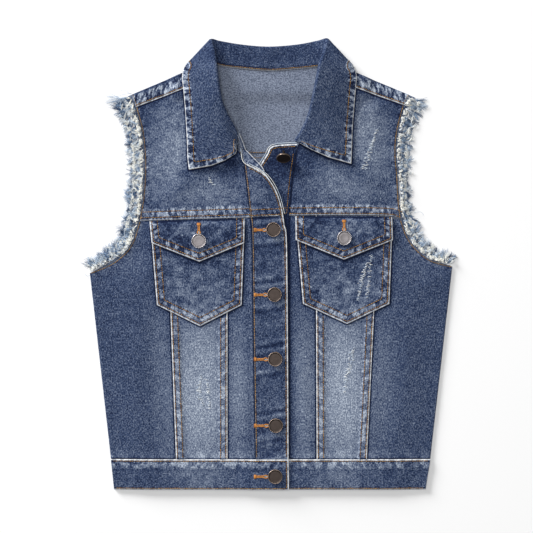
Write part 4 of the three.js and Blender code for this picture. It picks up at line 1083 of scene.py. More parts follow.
def build_side(name, front, curves):
    s, half = front["sign"], SEAM_GAP / 2
    inwards = s * TUCK["under"]
    seam_top = point_on(curves["outer_seam"], 1) - (inwards, half)
    seam_foot = point_on(curves["outer_seam"], 0) + (-inwards, half)
    yoke_corner = point_on(curves["yoke_seam"], 0) - (0, half)
    outer = line((s * front["band_top"], BAND_TOP + half), point_on(curves["armhole_side"], 1))
    top = chain((backwards(curves["armhole_side"]), 5), (line(yoke_corner, seam_top), 3))
    seam = curve_through([seam_foot, point_on(curves["outer_seam"], 0.6) - (inwards, 0), seam_top])
    armhole = points_of(curves["armhole_side"])
    seams = [
        Seam(armhole, rows=ROWS["armhole"], puff=0.15, wear=0.15, rungs=0.3, edge=0.3, reach=4, seed=11),
        Seam(points_of(curves["outer_seam"], 12), shade=1.0, seed=12), *lying_on(front),
    ]
    cloth = Cloth(between(outer, seam, top), CLOTH, tucked(front, "outer_seam", 1), seams, blotch=0.05,
                  seed=20 + s, extra=beside_band)
    rows_on(cloth, armhole, -s, ROWS["armhole"], (1, 1), seed=21 + s)
    return cloth.build(name, FACE_OUT)


def strip_outline(front, curves, outer_name, inner_name, grow):
    half, s = SEAM_GAP / 2, front["sign"]
    ends = np.array([0.0, 1.0])
    outer, inner = curves[outer_name](ends), curves[inner_name](ends)
    rows = [half, -half]
    low_high = [[o + (s * grow[0], dy), i - (s * grow[1], -dy)] for o, i, dy in zip(outer, inner, rows)]

    def side(curve, dx):
        return lambda t: curve(t) + np.stack([np.full(np.shape(t), dx), half - np.asarray(t) * SEAM_GAP], -1)
    return {
        "left": side(curves[outer_name], s * grow[0]), "right": side(curves[inner_name], -s * grow[1]),
        "bottom": line(*low_high[0]), "top": line(*low_high[1]),
    }


def build_middle(name, front, curves):
    outline = strip_outline(front, curves, "outer_seam", "inner_seam", (-SEAM_GAP / 2, -SEAM_GAP / 2))
    seams = [Seam(points_of(curves[k], 12), rows=ROWS["middle"], puff=0.28, wear=0.95, rungs=0.45,
                  edge=0.35, lift=0.1, seed=31 + i) for i, k in enumerate(("outer_seam", "inner_seam"))]
    seams += lying_on(front)
    cloth = Cloth(outline, CLOTH, lambda x, y: front_height(front, x, y) + seam_ridge(front, x, y), seams,
                  blotch=0.05, seed=33 + front["sign"], extra=beside_band)
    for i, (key, side) in enumerate((("outer_seam", 1), ("inner_seam", -1))):
        points = points_of(curves[key], 30)
        keep = points[points[:, 1] < front["pocket"]["low"] - 6]
        rows_on(cloth, keep, side * front["sign"], ROWS["middle"], (1, 0), seed=35 + i + 3 * front["sign"])
    return cloth.build(name, FACE_OUT)


def build_centre(name, front, curves):
    outline = strip_outline(front, curves, "inner_seam", "placket_seam", (TUCK["under"], -SEAM_GAP / 2))
    seams = [Seam(points_of(curves["inner_seam"], 3), shade=1.0, seed=41),
             Seam(points_of(curves["placket_seam"], 12), shade=0.7, seed=42), *lying_on(front)]

    def extra(x, y):
        height, fade = beside_band(x, y)
        from_placket = front["sign"] * x - out_at(front["placket_seam"], y)
        return height, fade + (0.3 * np.exp(-((from_placket - 3) / 1.6) ** 2) if front["sign"] < 0 else 0)
    cloth = Cloth(outline, CLOTH, tucked(front, "inner_seam", -1), seams, blotch=0.06,
                  seed=43 + front["sign"], extra=extra)
    return cloth.build(name, FACE_OUT)


def build_yoke(name, front, curves):
    s, half = front["sign"], SEAM_GAP / 2
    low = shifted(curves["yoke_seam"], 0, half)
    top = shifted(curves["shoulder_seam"], 0, 1.2)
    neck = neckline(front)
    seam_top = point_on(curves["placket_above"], 1) + (s * half, 0)
    inner = chain((shifted(curves["placket_above"], s * half, 0), 4), (line(seam_top, point_on(neck, 0)), 1),
                  (neck, 5))

    def closed(curve, corner):
        """A side whose ends meet the ends of the bottom and the top."""
        def at(t):
            out = curve(t)
            out[np.asarray(t) <= 0] = point_on(low, corner)
            out[np.asarray(t) >= 1] = point_on(top, corner)
            return out
        return at
    outline = {"bottom": low, "top": top, "left": closed(backwards(curves["armhole_yoke"]), 0),
               "right": closed(inner, 1)}
    yoke_line = points_of(curves["yoke_seam"], 14)
    armhole_line = points_of(curves["armhole_yoke"])
    seams = [
        Seam(yoke_line, rows=front["yoke_rows"], puff=0.3, period=4.5, slant=0.1, wear=0.45, rungs=0.7,
             edge=0.35, lift=0.3, reach=front["yoke_rows"][1] + 3, seed=51),
        Seam(armhole_line, rows=ROWS["armhole"], puff=0.15, wear=0.15, rungs=0.35, edge=0.3, reach=4,
             seed=52),
        Seam(points_of(curves["placket_above"], 12), shade=0.8, edge=0.2, seed=53),
        Seam(points_of(curves["shoulder_seam"], 6) - (0, STRIP_DROP), shade=1.1, seed=54),
        Seam(collar_outline(front), shade=1.1, seed=50),
    ]

    def height(x, y):
        above = y - level_at(curves["yoke_seam"], x)
        below_strip = level_at(curves["shoulder_seam"], x) - y
        return (front_height(front, x, y) + SEAM_RIDGE * smooth((SEAM_RIDGE_WIDTH + 1 - above) / 1.5)
                - 0.6 * smooth((STRIP_DROP + 0.6 - below_strip) / 0.5))
    cloth = Cloth(outline, CLOTH, height, seams, blotch=0.24, seed=55 + s)
    rows_on(cloth, yoke_line, -s, front["yoke_rows"], (1, 0), seed=56 + s)
    rows_on(cloth, armhole_line, -s, ROWS["armhole"], (1, 1), seed=58 + s)
    return cloth.build(name, FACE_OUT)


def build_shoulder(name, front, curves):
    low = shifted(curves["shoulder_seam"], 0, SEAM_GAP / 2 - STRIP_DROP)
    fold = curves["shoulder_fold"]
    ends = np.array([0.0, 1.0])
    (low_a, low_b), (fold_a, fold_b) = low(ends), fold(ends)
    outline = {"bottom": low, "top": fold, "left": line(low_a, fold_a), "right": line(low_b, fold_b)}
    seam_line = points_of(curves["shoulder_seam"], 8) - (0, STRIP_DROP)
    seams = [
        Seam(seam_line, rows=ROWS["shoulder"], puff=0.6, period=5, slant=-0.5, wear=0.8, rungs=1.0,
             edge=0.35, lift=0.45, reach=13, seed=61),
        Seam(collar_outline(front), shade=1.1, seed=62),
    ]
    cloth = Cloth(outline, CLOTH, lambda x, y: front_height(front, x, y) + SEAM_RIDGE / 2, seams,
                  blotch=0.12, seed=63 + front["sign"])
    rows_on(cloth, seam_line, -front["sign"], ROWS["shoulder"], (1, 0), seed=64 + front["sign"])
    rows_on(cloth, [low_a, fold_a], front["sign"], ROWS["shoulder_end"], (0.5, 0.5), seed=66 + front["sign"])
    return cloth.build(name, FACE_OUT)


def pointed_outline(front, form, top):
    s = front["sign"]
    low = [(s * form["outer_low"], form["low"]), (s * form["inner_low"], form["low"])]
    tip = (s * form["tip"], form["tip_y"])
    edge = np.array([top[0], low[0], tip, low[1], top[1]], float)
    return {"left": line(low[0], top[0]), "right": line(low[1], top[1]), "top": line(*top),
            "bottom": chain((line(low[0], tip), 1), (line(tip, low[1]), 1))}, edge


def build_pocket(name, front, curves):
    form = front["pocket"]
    top = [(front["sign"] * form[k], form["top"]) for k in ("outer", "inner")]
    outline, edge = pointed_outline(front, form, top)
    _, flap_edge = flap_outline(front, curves)
    seams = [Seam(edge, rows=ROWS["pocket"], puff=0.32, period=5, wear=0.82, rungs=0.6, edge=0.35, reach=10.5,
                  seed=71), Seam(flap_edge, shade=1.4, seed=70)]
    cloth = Cloth(outline, CLOTH + 0.2, lambda x, y: front_height(front, x, y) + LAYER_GAP + CLOTH, seams,
                  blotch=0.46, seed=72 + front["sign"])
    sew_outline(cloth, front, edge, ROWS["pocket"], seed=74)
    return cloth.build(name, FACE_OUT)


def sew_outline(cloth, front, edge, rows, seed):
    """Rows of stitches inside a pointed outline, mitred at its corners."""
    side = -front["sign"]
    for i, row in enumerate(rows):
        moved = mitred(edge, row, side)
        for j, (a, b) in enumerate(zip(moved[:-1], moved[1:])):
            points = points_of(line(a, b), 80)
            sew_on(cloth, points[:, 0], points[:, 1], seed + 10 * i + j)


def mitred(points, distance, side):
    """A line of straight stretches moved sideways, its corners kept sharp."""
    steps = np.diff(points, axis=0)
    steps /= np.linalg.norm(steps, axis=1, keepdims=True)
    normals = side * np.stack([-steps[:, 1], steps[:, 0]], -1)
    out = [points[0] + normals[0] * distance]
    for p, a, b in zip(points[1:-1], normals[:-1], normals[1:]):
        both = a + b
        out.append(p + both * 2 * distance / both.dot(both))
    return np.array(out + [points[-1] + normals[-1] * distance])


def flap_outline(front, curves):
    form, s = front["flap"], front["sign"]
    top = [(s * form[k], level_at(curves["yoke_seam"], s * form[k]) - FLAP_CLEARANCE)
           for k in ("outer", "inner")]
    return pointed_outline(front, form, top)


def build_flap(name, front, curves):
    s = front["sign"]
    outline, edge = flap_outline(front, curves)
    seams = [Seam(edge, rows=ROWS["flap"], puff=0.34, period=4.5, wear=0.85, rungs=0.75, edge=0.4, reach=10,
                  seed=81), Seam(edge[[0, -1]], shade=1.1, seed=82)]
    middle = level_at(curves["yoke_seam"], s * front["flap"]["tip"])

    def height(x, y):
        return (front_height(front, x, y) + LAYER_GAP + DOUBLE_CLOTH
                + (LAYER_GAP + CLOTH) * smooth((middle - 1 - y) / 7))
    cloth = Cloth(outline, DOUBLE_CLOTH, height, seams, blotch=0.6, seed=83 + s, fade=0.05)
    sew_outline(cloth, front, edge, ROWS["flap"], seed=85)
    return cloth.build(name, FACE_OUT, f"pocket_{name.split('_')[1]}_cloth")


# Plackets and the hem band

def placket_rise(y):
    return smooth((y - PLACKET_RISE_FROM) / (PLACKET_RISE_TO - PLACKET_RISE_FROM))


def tension(x, y):
    """Short cross folds between the buttons, where the overlap is pulled, their crests painted paler, partly
    as wear and partly as painted light, and painted shade just below them.
    """
    height, fade = np.zeros(np.shape(x)), np.zeros(np.shape(x))
    for k, (bx, by) in enumerate(FRONT_BUTTONS[1:]):
        for j, offset in enumerate((-13, 11, 21)):
            d = (y - by - offset - 0.15 * (x - bx)) / 2.8
            rise = np.exp(-d**2) * (0.7 + 0.4 * value_noise(x / 9 + k, x * 0 + j, 95))
            height = height + 0.35 * rise
            # Painted light and wear on each crest, and painted shade just below it.
            fade = fade + 0.5 * rise - 0.35 * np.exp(-((d + 1.7) ** 2))
    return height, fade


def placket_seam(curves, dx, low_share, high_share):
    """A placket's seam, from the hem band to the neck, moved sideways."""
    return chain((shifted(curves["placket_seam"], dx, 0), low_share),
                 (shifted(curves["placket_above"], dx, 0), high_share))


def build_buttonhole_band(name, curves):
    half = SEAM_GAP / 2
    left = raised(placket_seam(curves, half, 14, 8), half)
    right = raised(curve_through(PLACKET_EDGE), half)
    seam_line, edge_line = points_of(left, 60), points_of(right, 80)
    seams = [
        Seam(edge_line, rows=ROWS["buttonhole_edge"], puff=0.2, wear=1.15, rungs=0.4, edge=0.4, lift=0.2,
             seed=101),
        Seam(seam_line, rows=ROWS["buttonhole_seam"], puff=0.2, wear=0.1, rungs=0.3, edge=0.3, seed=102),
        Seam(CHEST_LINE, rows=ROWS["chest"], puff=0.3, period=4.5, wear=0.9, rungs=0.55, seed=103,
             above_only=True),
    ]

    def extra(x, y):
        height, fade = tension(x, y)
        above = y - np.interp(x, *CHEST_LINE.T)
        step = smooth(above / 0.5) * smooth((11 - above) / 2)
        # Painted shade just below the seam across the chest, under the step where the band above stands
        # higher.
        dark = -0.6 * np.exp(-((above + 1.3) / 1.3) ** 2)
        return height + 0.5 * step, fade + dark

    def height(x, y):
        across = (x - out_of(left, y)) / np.maximum(out_of(right, y) - out_of(left, y), 1)
        return (body_height(x, y) + OVERLAP_LIFT
                + PLACKET_EDGE_RISE * placket_rise(y) * (0.3 + 0.7 * np.clip(across, 0, 1)))
    cloth = Cloth(between(left, right), DOUBLE_CLOTH, height, seams, blotch=0.3, seed=105, extra=extra)
    rows_on(cloth, seam_line, -1, ROWS["buttonhole_seam"], (1, 1), seed=106)
    rows_on(cloth, edge_line, 1, ROWS["buttonhole_edge"], (1, 1), seed=107)
    for row, start in zip(ROWS["chest"], (-25, -25.5)):
        x = np.linspace(start, 14, 60)
        sew_on(cloth, x, np.interp(x, *CHEST_LINE.T) + row, 108)
    return cloth.build(name, FACE_OUT, "placket_left_cloth")


def out_of(curve, y):
    """The x of a curve that runs upwards, at a level."""
    places = curve(np.linspace(0, 1, 300))
    return np.interp(y, places[:, 1], places[:, 0])


def build_button_band(name, curves):
    half, foot = SEAM_GAP / 2, BAND_TOP + SEAM_GAP / 2
    top = curve_through(UNDER_PLACKET_TOP)
    seam = raised(placket_seam(curves, -half, 13, 5), half)

    def right(t):
        out = seam(t)
        out[np.asarray(t) >= 1] = point_on(top, 1)
        return out
    corner = (-UNDER_PLACKET_OUT, 56)
    left = chain((line((3 - UNDER_PLACKET_OUT, foot), corner), 13), (line(corner, UNDER_PLACKET_TOP[0]), 5))
    neck_edge, seam_line = points_of(top, 40), points_of(right, 60)[:-1]
    seams = [
        Seam(neck_edge, rows=ROWS["neck_edge"], puff=0.2, wear=1.0, rungs=0.3, edge=0.4, seed=111),
        Seam(seam_line, rows=ROWS["button_seam"], puff=0.2, shade=0.8, rungs=0.25, edge=0.2, seed=112),
        Seam(points_of(curve_through(PLACKET_EDGE), 40), shade=1.3, seed=110),
    ]
    cloth = Cloth(between(left, right, top), DOUBLE_CLOTH, lambda x, y: body_height(x, y, False), seams,
                  blotch=0.26, seed=113, fade=-0.12)
    rows_on(cloth, neck_edge, -1, ROWS["neck_edge"], (1, 2), seed=114)
    above = seam_line[seam_line[:, 1] > OPEN_FROM]
    rows_on(cloth, above, 1, ROWS["button_seam"], (0, 4), seed=115)
    for row in ROWS["chest"]:
        x = np.linspace(12, 18.5, 20)
        sew_on(cloth, x, UNDER_CHEST + row + 0 * x, 116)
    return cloth.build(name, FACE_OUT)


def build_band(name, outer_x, end_x, height, seed, closed_end, looks=FACE_OUT):
    top_y = BAND_TOP - SEAM_GAP / 2
    outer_line, end_line = (np.array([(hem_x, HEM), (top_x, top_y)]) for hem_x, top_x in (outer_x, end_x))
    hem_line, top_line = np.array([outer_line[0], end_line[0]]), np.array([outer_line[1], end_line[1]])
    seams = [
        Seam(top_line, rows=ROWS["band_top"], puff=0.4, period=8.5, slant=0.2, wear=0.95, rungs=0.5, edge=0.4,
             lift=0.3, reach=10, seed=seed),
        Seam(hem_line, rows=ROWS["hem"], puff=0.2, wear=0.45, rungs=0.25, edge=0.6, seed=seed + 2),
    ]
    if closed_end:
        seams.append(Seam(end_line, rows=ROWS["band_end"], puff=0.2, wear=1.3, rungs=0.2, edge=0.5,
                          seed=seed + 3))
    cloth = Cloth(between(line(*outer_line), line(*end_line)), DOUBLE_CLOTH, height, seams, blotch=0.2,
                  seed=seed + 4, turn=BAND_GRAIN)
    side = 1 if end_x[0] > outer_x[0] else -1
    rows_on(cloth, top_line, -side, ROWS["band_top"], (2, 3), seed=seed + 5)
    rows_on(cloth, hem_line, side, ROWS["hem"], (2, 3), seed=seed + 6)
    if closed_end:
        rows_on(cloth, end_line, side, ROWS["band_end"], (2, 2), seed=seed + 7)
    return cloth.build(name, looks)


# Back

def back_armhole(front):
    edge = np.array(placed(front, front["armhole"]), float)
    along = np.empty_like(edge)
    along[1:-1], along[0], along[-1] = edge[2:] - edge[:-2], edge[1] - edge[0], edge[-1] - edge[-2]
    along /= np.linalg.norm(along, axis=1, keepdims=True)
    outwards = front["sign"] * np.stack([-along[:, 1], along[:, 0]], -1)
    stepped = edge + outwards * np.array(front["back_step"])[:, None]
    fold = np.array(placed(front, front["shoulder_fold"]), float)
    along_fold = (fold[0] - fold[1]) / np.linalg.norm(fold[0] - fold[1])
    stepped[0] = fold[0] + along_fold * front["back_step"][0]
    return stepped


def divided_armhole(front):
    whole = catmull_rom(back_armhole(front))
    high = whole[:, 1] > BACK_YOKE_SEAM
    crossing = [np.interp(-BACK_YOKE_SEAM, -whole[:, 1], whole[:, 0]), BACK_YOKE_SEAM]
    return (along_line(np.vstack([whole[high], crossing])), along_line(np.vstack([crossing, whole[~high]])))


def build_back_panel():
    def edge(front):
        _, armhole = divided_armhole(front)
        foot = (front["sign"] * front["band_top"], BAND_TOP + SEAM_GAP / 2)
        return chain((line(foot, point_on(armhole, 1)), 6), (backwards(armhole), 14))
    outline = between(edge(FRONTS["right"]), edge(FRONTS["left"]))
    cloth = Cloth(outline, CLOTH, lambda x, y: CLOTH + 0 * x, [], blotch=0.05, seed=121, step=2 * POINT_STEP,
                  turn=BACK_GRAIN)
    return cloth.build("back_panel", FACE_IN)


def build_back_yoke():
    neck = curve_through([(row[0][0], row[0][1] - SEAM_GAP) for row in COLLAR_ROWS[7:14]])
    folds = {k: curve_through(placed(f, f["shoulder_fold"])) for k, f in FRONTS.items()}
    yokes = {k: divided_armhole(f)[0] for k, f in FRONTS.items()}

    def edge(key):
        def at(t):
            out = yokes[key](1 - np.asarray(t, float))
            out[np.asarray(t) <= 0, 1] = BACK_YOKE_SEAM + SEAM_GAP / 2
            return out
        return at
    outer = {k: line(point_on(yokes[k], 0), point_on(folds[k], 0)) for k in FRONTS}
    to_neck = line(point_on(folds["right"], 1), point_on(neck, 0))
    from_neck = line(point_on(neck, 1), point_on(folds["left"], 1))
    top = chain((outer["right"], 1), (folds["right"], 4), (to_neck, 1), (neck, 8), (from_neck, 1),
                (backwards(folds["left"]), 4), (backwards(outer["left"]), 1))
    seams = [Seam([(-150, BACK_YOKE_SEAM), (150, BACK_YOKE_SEAM)], shade=1.0, seed=131)]
    cloth = Cloth(between(edge("right"), edge("left"), top), CLOTH, lambda x, y: CLOTH + lift_over_fall(x, y),
                  seams, blotch=0.05, seed=132, step=1.5 * POINT_STEP, turn=BACK_GRAIN)
    return cloth.build("back_yoke", FACE_IN)


# Collar

def section_points(neck, fold, edge, bow, table, side):
    """The middle line of the collar's cloth, from the neck seam over the fold to the outer edge."""
    def unit(v):
        return v / np.linalg.norm(v)
    to_neck, to_edge = unit(neck - fold), unit(edge - fold)
    inwards, across = unit(to_neck + to_edge), unit(to_neck - to_edge)
    centre = fold + inwards * FOLD_RADIUS
    half_turn = math.pi / 2 - math.acos(np.clip(to_neck @ to_edge, -1, 1)) / 2

    def on_fold(angle):
        return centre - inwards * FOLD_RADIUS * math.cos(angle) + across * FOLD_RADIUS * math.sin(angle)
    stand_count, turn_count, fall_count = SECTION_COUNTS
    stand = [neck + (on_fold(half_turn) - neck) * k / stand_count for k in range(stand_count)]
    turn = [on_fold(half_turn * (1 - 2 * k / turn_count)) for k in range(turn_count + 1)]
    plan = unit(np.array([edge[0] - fold[0], edge[1] - fold[1], 0]))
    sideways = np.array([plan[1], -plan[0], 0]) * side
    fall = []
    for k in range(1, fall_count + 1):
        t = 1 - (1 - k / fall_count) ** 1.35
        point = turn[-1] + (edge - turn[-1]) * t + sideways * bow * np.interp(t, *table)
        if edge[2] > EDGE_HEIGHT:
            point = point + np.array([0, 0, FALL_CROWN * math.sin(math.pi * t)])
        fall.append(point)
    return stand + turn + fall


def centripetal(points, where):
    """Points along a smooth curve in space, a unit of `where` for each span."""
    p = np.asarray(points, float)
    n = len(p)
    out = []
    for value in where:
        i = min(int(value), n - 2)
        w = value - i
        p1, p2 = p[i], p[i + 1]
        p0 = p[i - 1] if i > 0 else 2 * p[0] - p[1]
        p3 = p[i + 2] if i < n - 2 else 2 * p[-1] - p[-2]
        d0, d1, d2 = (max(np.linalg.norm(b - a) ** 0.5, 1e-4) for a, b in ((p0, p1), (p1, p2), (p2, p3)))
        t1 = ((p1 - p0) / d0 - (p2 - p0) / (d0 + d1) + (p2 - p1) / d1) * d1
        t2 = ((p2 - p1) / d1 - (p3 - p1) / (d1 + d2) + (p3 - p2) / d2) * d1
        out.append((2 * p1 - 2 * p2 + t1 + t2) * w**3 + (-3 * p1 + 3 * p2 - 2 * t1 - t2) * w**2 + t1 * w + p1)
    return np.array(out)


def sheet_normals(sheet):
    along_row = np.gradient(sheet, axis=1)
    along_column = np.gradient(sheet, axis=0)
    normals = np.cross(along_row, along_column)
    return normals / np.linalg.norm(normals, axis=-1, keepdims=True)


def collar_middle():
    """The middle of the collar's cloth, a row for each section, and the rows that show on each half."""
    spans = len(COLLAR_ROWS) - 1
    where = np.concatenate([[0, 0.03, 0.08, 0.15], np.arange(0.22, spans - 0.2, 0.07),
                            [spans - 0.15, spans - 0.08, spans - 0.03, spans]])
    necks, folds, edges = (centripetal([row[k] for row in COLLAR_ROWS], where) for k in range(3))
    rows = []
    for w, neck, fold, edge in zip(where, necks, folds, edges):
        bow = float(smooth(1 - min(w, spans - w) / END_BOW_ROWS))
        side = "right" if w < spans / 2 else "left"
        rows.append(section_points(neck, fold, edge, bow, END_BOW[side], -1 if side == "right" else 1))
    shown = (where < COLLAR_SHOWN_ROWS) | (where > spans - COLLAR_SHOWN_ROWS)
    return np.array(rows), [shown & (where < spans / 2), shown & (where > spans / 2)]


def collar_outline(front):
    """The part of the collar's outline that lies on a front: its end and its outer edge."""
    middle, halves = collar_middle()
    end, half = (0, halves[0]) if front["sign"] < 0 else (-1, halves[1][::-1])
    edge = middle[:, -1, :2] if front["sign"] < 0 else middle[::-1, -1, :2]
    return np.vstack([middle[end, FOLD_COLUMN::3, :2], edge[half][::4]])


def build_collar():
    middle, halves = collar_middle()
    normals = sheet_normals(middle)
    normals *= np.sign(normals[len(middle) // 8, -8, 2])
    x, y = middle[..., 0], middle[..., 1]
    from_edge, run = nearest_of([middle[half, -1, :2] for half in halves], x, y)
    ends = []
    for row, insets in COLLAR_END_INSETS:
        distance, along_end = near(middle[row, FOLD_COLUMN:, :2], x, y)
        ends.append((distance * COLLAR_STITCH_INSET / np.interp(along_end, *insets), along_end))
    near_end = np.minimum(ends[0][0], ends[1][0])
    end_run = np.where(ends[0][0] < ends[1][0], ends[0][1], ends[1][1])
    neck_end = np.cumsum(np.pad(np.linalg.norm(np.diff(middle, axis=1), axis=-1), ((0, 0), (1, 0))), axis=1)
    sewn = {"rows": (COLLAR_STITCH_INSET,), "puff": 0.32, "edge": 0.5}
    seams = [Seam([], period=4.6, slant=0.1, wear=0.8, rungs=1.0, seed=141, **sewn),
             Seam([], period=5, wear=0.9, rungs=0.9, seed=142, **sewn),
             Seam([], rows=ROWS["collar_neck"], puff=0.15, period=6, wear=0.5, rungs=0.5, reach=5, seed=146)]
    height, fade, values = beside(seams, [(from_edge, run), (near_end, end_run), (neck_end, run)])
    fade = fade + 0.06 * value_noise(x / 20, y / 24, 143) + 0.1 * value_noise(x / 7, y / 8, 144) + 0.02
    # Painted light: the collar is paler towards x above 0, where it turns from the lamp; painted shade:
    # darker at the back beyond y 228, on the stand.
    fade = fade + 0.05 * smooth(x / 40) - 0.16 * smooth((y - 228) / 14)
    crackle = 0.5 * value_noise(x / 6, y / 4, 145) + 0.5 * value_noise(x / 2.6, y / 2.2, 147)
    fade = fade + np.exp(-(near_end / 13) ** 2) * (0.1 + crackle)
    fade = fade + 0.35 * np.exp(-(from_edge / 5) ** 2) * crackle
    tips = np.minimum(*(np.hypot(x - tip_x, y - tip_y) for tip_x, tip_y in COLLAR_TIPS))
    values["fade"] = fade + 0.95 * np.exp(-(tips / 7) ** 2)
    outer = middle + normals * (DOUBLE_CLOTH / 2 + height)[..., None]
    inner = middle - normals * (DOUBLE_CLOTH / 2)
    weave = np.stack([neck_end, run_of(middle[:, FOLD_COLUMN])[:, None] + 0 * x], -1) + 500
    obj = shell("collar_cloth", outer, inner, values, weave, [DENIM, DENIM])
    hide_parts("collar")
    length, width = run_of(middle[:, (middle.shape[1] - 1) // 2])[-1], neck_end[:, -1].max()
    sew_collar(outer, normals, from_edge, near_end, neck_end, halves)


def crossing(values, points, facing, target):
    """The point and its normal where values, which fall towards the end, last pass a target."""
    i = np.flatnonzero(values > target)[-1]
    share = (values[i] - target) / max(values[i] - values[i + 1], 1e-6)
    return points[i] + (points[i + 1] - points[i]) * share, facing[i]


def sew_in_space(places, seed):
    """A row of stitches along points in space, each given with its normal."""
    points, normals = (np.array(part) for part in zip(*places))
    stitch_row(points, seed, normals)


def sew_collar(outer, normals, from_edge, near_end, neck_end, halves):
    """A row of stitches beside the collar's outer edge and ends, and one beside its neck seam."""
    target = COLLAR_STITCH_INSET
    last = outer.shape[0] - 1
    for k, half in enumerate(halves):
        sewn = [j for j in np.flatnonzero(half) if near_end[j, -1] > target]
        places = [crossing(from_edge[j], outer[j], normals[j], target) for j in sewn]
        sew_in_space(places, 151 + k)
        inwards = np.arange(END_SEARCH, -1, -1) if k == 0 else np.arange(last - END_SEARCH, last + 1)
        sewn = [i for i in range(FOLD_COLUMN, outer.shape[1]) if from_edge[inwards[-1], i] > target]
        places = [crossing(*(part[inwards, i] for part in (near_end, outer, normals)), target) for i in sewn]
        sew_in_space(places, 153 + k)
    stations = np.arange(4, last - 3, 2)
    inset_row = ROWS["collar_neck"][0]
    neck = [[np.interp(inset_row, neck_end[j], outer[j, :, k]) for k in range(3)] for j in stations]
    stitch_row(np.array(neck), 155, normals[stations, 2])


# Buttons and buttonholes

def lathe(name, profile, centre, materials, tilt):
    """A turned form about an axis that leans towards the hem, with its lowest point at the centre's level.

    Its rim takes the second material, a paler metal that paints a highlight along the rim.
    """
    sides = LATHE_SIDES
    angles = np.arange(sides) * 2 * math.pi / sides
    rings = [(r, z) for r, z in profile if r > 1e-6]
    points = np.array([(r * math.cos(a), r * math.sin(a), z) for r, z in rings for a in angles])
    faces, face_looks = [], []
    for j in range(len(rings) - 1):
        for i in range(sides):
            k = (i + 1) % sides
            faces.append([j * sides + i, j * sides + k, (j + 1) * sides + k, (j + 1) * sides + i])
            face_looks.append(int(rings[j + 1] in RIM))
    count = len(points)
    points = np.vstack([points, [[0, 0, profile[0][1]], [0, 0, profile[-1][1]]]])
    last = (len(rings) - 1) * sides
    for i in range(sides):
        k = (i + 1) % sides
        faces.append([k, i, count])
        faces.append([last + i, last + k, count + 1])
        face_looks += [0, 0]
    c, s = math.cos(tilt), math.sin(tilt)
    turned = points @ np.array([[1, 0, 0], [0, c, -s], [0, s, c]]).T
    turned[:, 2] -= turned[:, 2].min()
    obj = finish_mesh(name, turned + centre, faces, materials, face_looks)
    return obj


def button_profile(grooves, leaning=False):
    neck, length = BUTTON_NECK["radius"], BUTTON_NECK["length"]
    foot = [(0, -length), (neck, -length), (neck, 0)] if leaning else [(0, 0)]
    top, r, shank, high = BUTTON_TOP, BUTTON["radius"], BUTTON["shank"], BUTTON["shank_height"]
    under = [(shank, 0), (shank, high - 0.2), (shank + 0.4, high), (r - 1.2, high), (r - 0.3, high + 0.35),
             (r, high + 0.9)]
    face = [(r - 1.1, top - 0.3), (r - 1.3, top - 0.5)] + grooves(r, top) + [(0, top - 0.42)]
    return foot + under + RIM + face


def flat_face(r, top):
    return [(r * 0.7, top - 0.46), (r * 0.3, top - 0.43)]


def ringed_face(r, top):
    return [(r * 0.66, top - 0.44), (r * 0.6, top - 0.34), (r * 0.52, top - 0.34), (r * 0.46, top - 0.43)]


def build_button(node, place, face, materials, lean=0.0):
    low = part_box(node)[0][2] / MM
    profile = button_profile(face, lean > 0)
    cap = lathe(f"{node}_cap", profile, np.array([*place, low]), materials, lean)
    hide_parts(node)


def over_cloth(cloth, places, rise):
    """Points above a cloth's surface, from places in plan."""
    x, y = np.array(places).T.copy()
    return [(*place, level + up) for place, level, up in zip(places, cloth.top(x, y), rise)]


def buttonhole(cloth, start, end, seed):
    """A keyhole buttonhole: threads wrapped over both lips, a pale eye at its end and a bar at its start."""
    start, end = np.array(start, float), np.array(end, float)
    along = (end - start) / np.linalg.norm(end - start)
    aside = np.array([-along[1], along[0]])
    length = np.linalg.norm(end - start)
    rng = np.random.default_rng(seed)
    count = int(length / 0.42)
    at = (np.arange(count) + 0.5) / count
    lines, tints = [], []
    eye = np.clip((at - 0.62) / 0.3, 0, 1)
    for lip in (-1, 1):
        for k, t in enumerate(at):
            middle = start + along * length * t
            near_slit = 0.15 + 1.0 * math.sin(math.pi * min(1.0, eye[k])) * (eye[k] > 0)
            reach = near_slit + 1.15 + 0.15 * rng.uniform(-1, 1)
            places = [middle + aside * lip * (near_slit + (reach - near_slit) * f) for f in (0, 0.3, 0.7, 1)]
            lines.append(over_cloth(cloth, places, (-0.2, 0.4, 0.4, -0.15)))
            tints.append(rng.uniform(0.2, 1))
    pale = start + along * length * np.linspace(0.7, 0.94, 6)[:, None]
    across = aside * 0.75 * np.linspace(-1, 1, 4)[:, None]
    slit = pale[:, None] + across
    z = cloth.top(slit[..., 0], slit[..., 1]) + 0.1
    worn_edges.add(np.concatenate([slit, z[..., None]], -1), 0.22, 0.85)
    for k in range(9):
        middle = start + along * (k * 0.32 - 0.6)
        places = [middle + aside * f for f in (-2.3, -1.4, 1.4, 2.3)]
        lines.append(over_cloth(cloth, places, (-0.1, 0.6, 0.6, -0.1)))
        tints.append(rng.uniform(0, 0.8))
    orange.add(np.array(lines), np.array([0.24, 0.36, 0.36, 0.24]), np.array(tints))


# Frayed armholes

def beside_edge(edge, sign, t):
    """Places on an edge, with the directions along it and away from the cloth."""
    ahead = edge(np.minimum(1, t + 0.004)) - edge(np.maximum(0, t - 0.004))
    ahead /= np.linalg.norm(ahead, axis=-1, keepdims=True)
    return edge(t), ahead, sign * np.stack([-ahead[..., 1], ahead[..., 0]], -1)


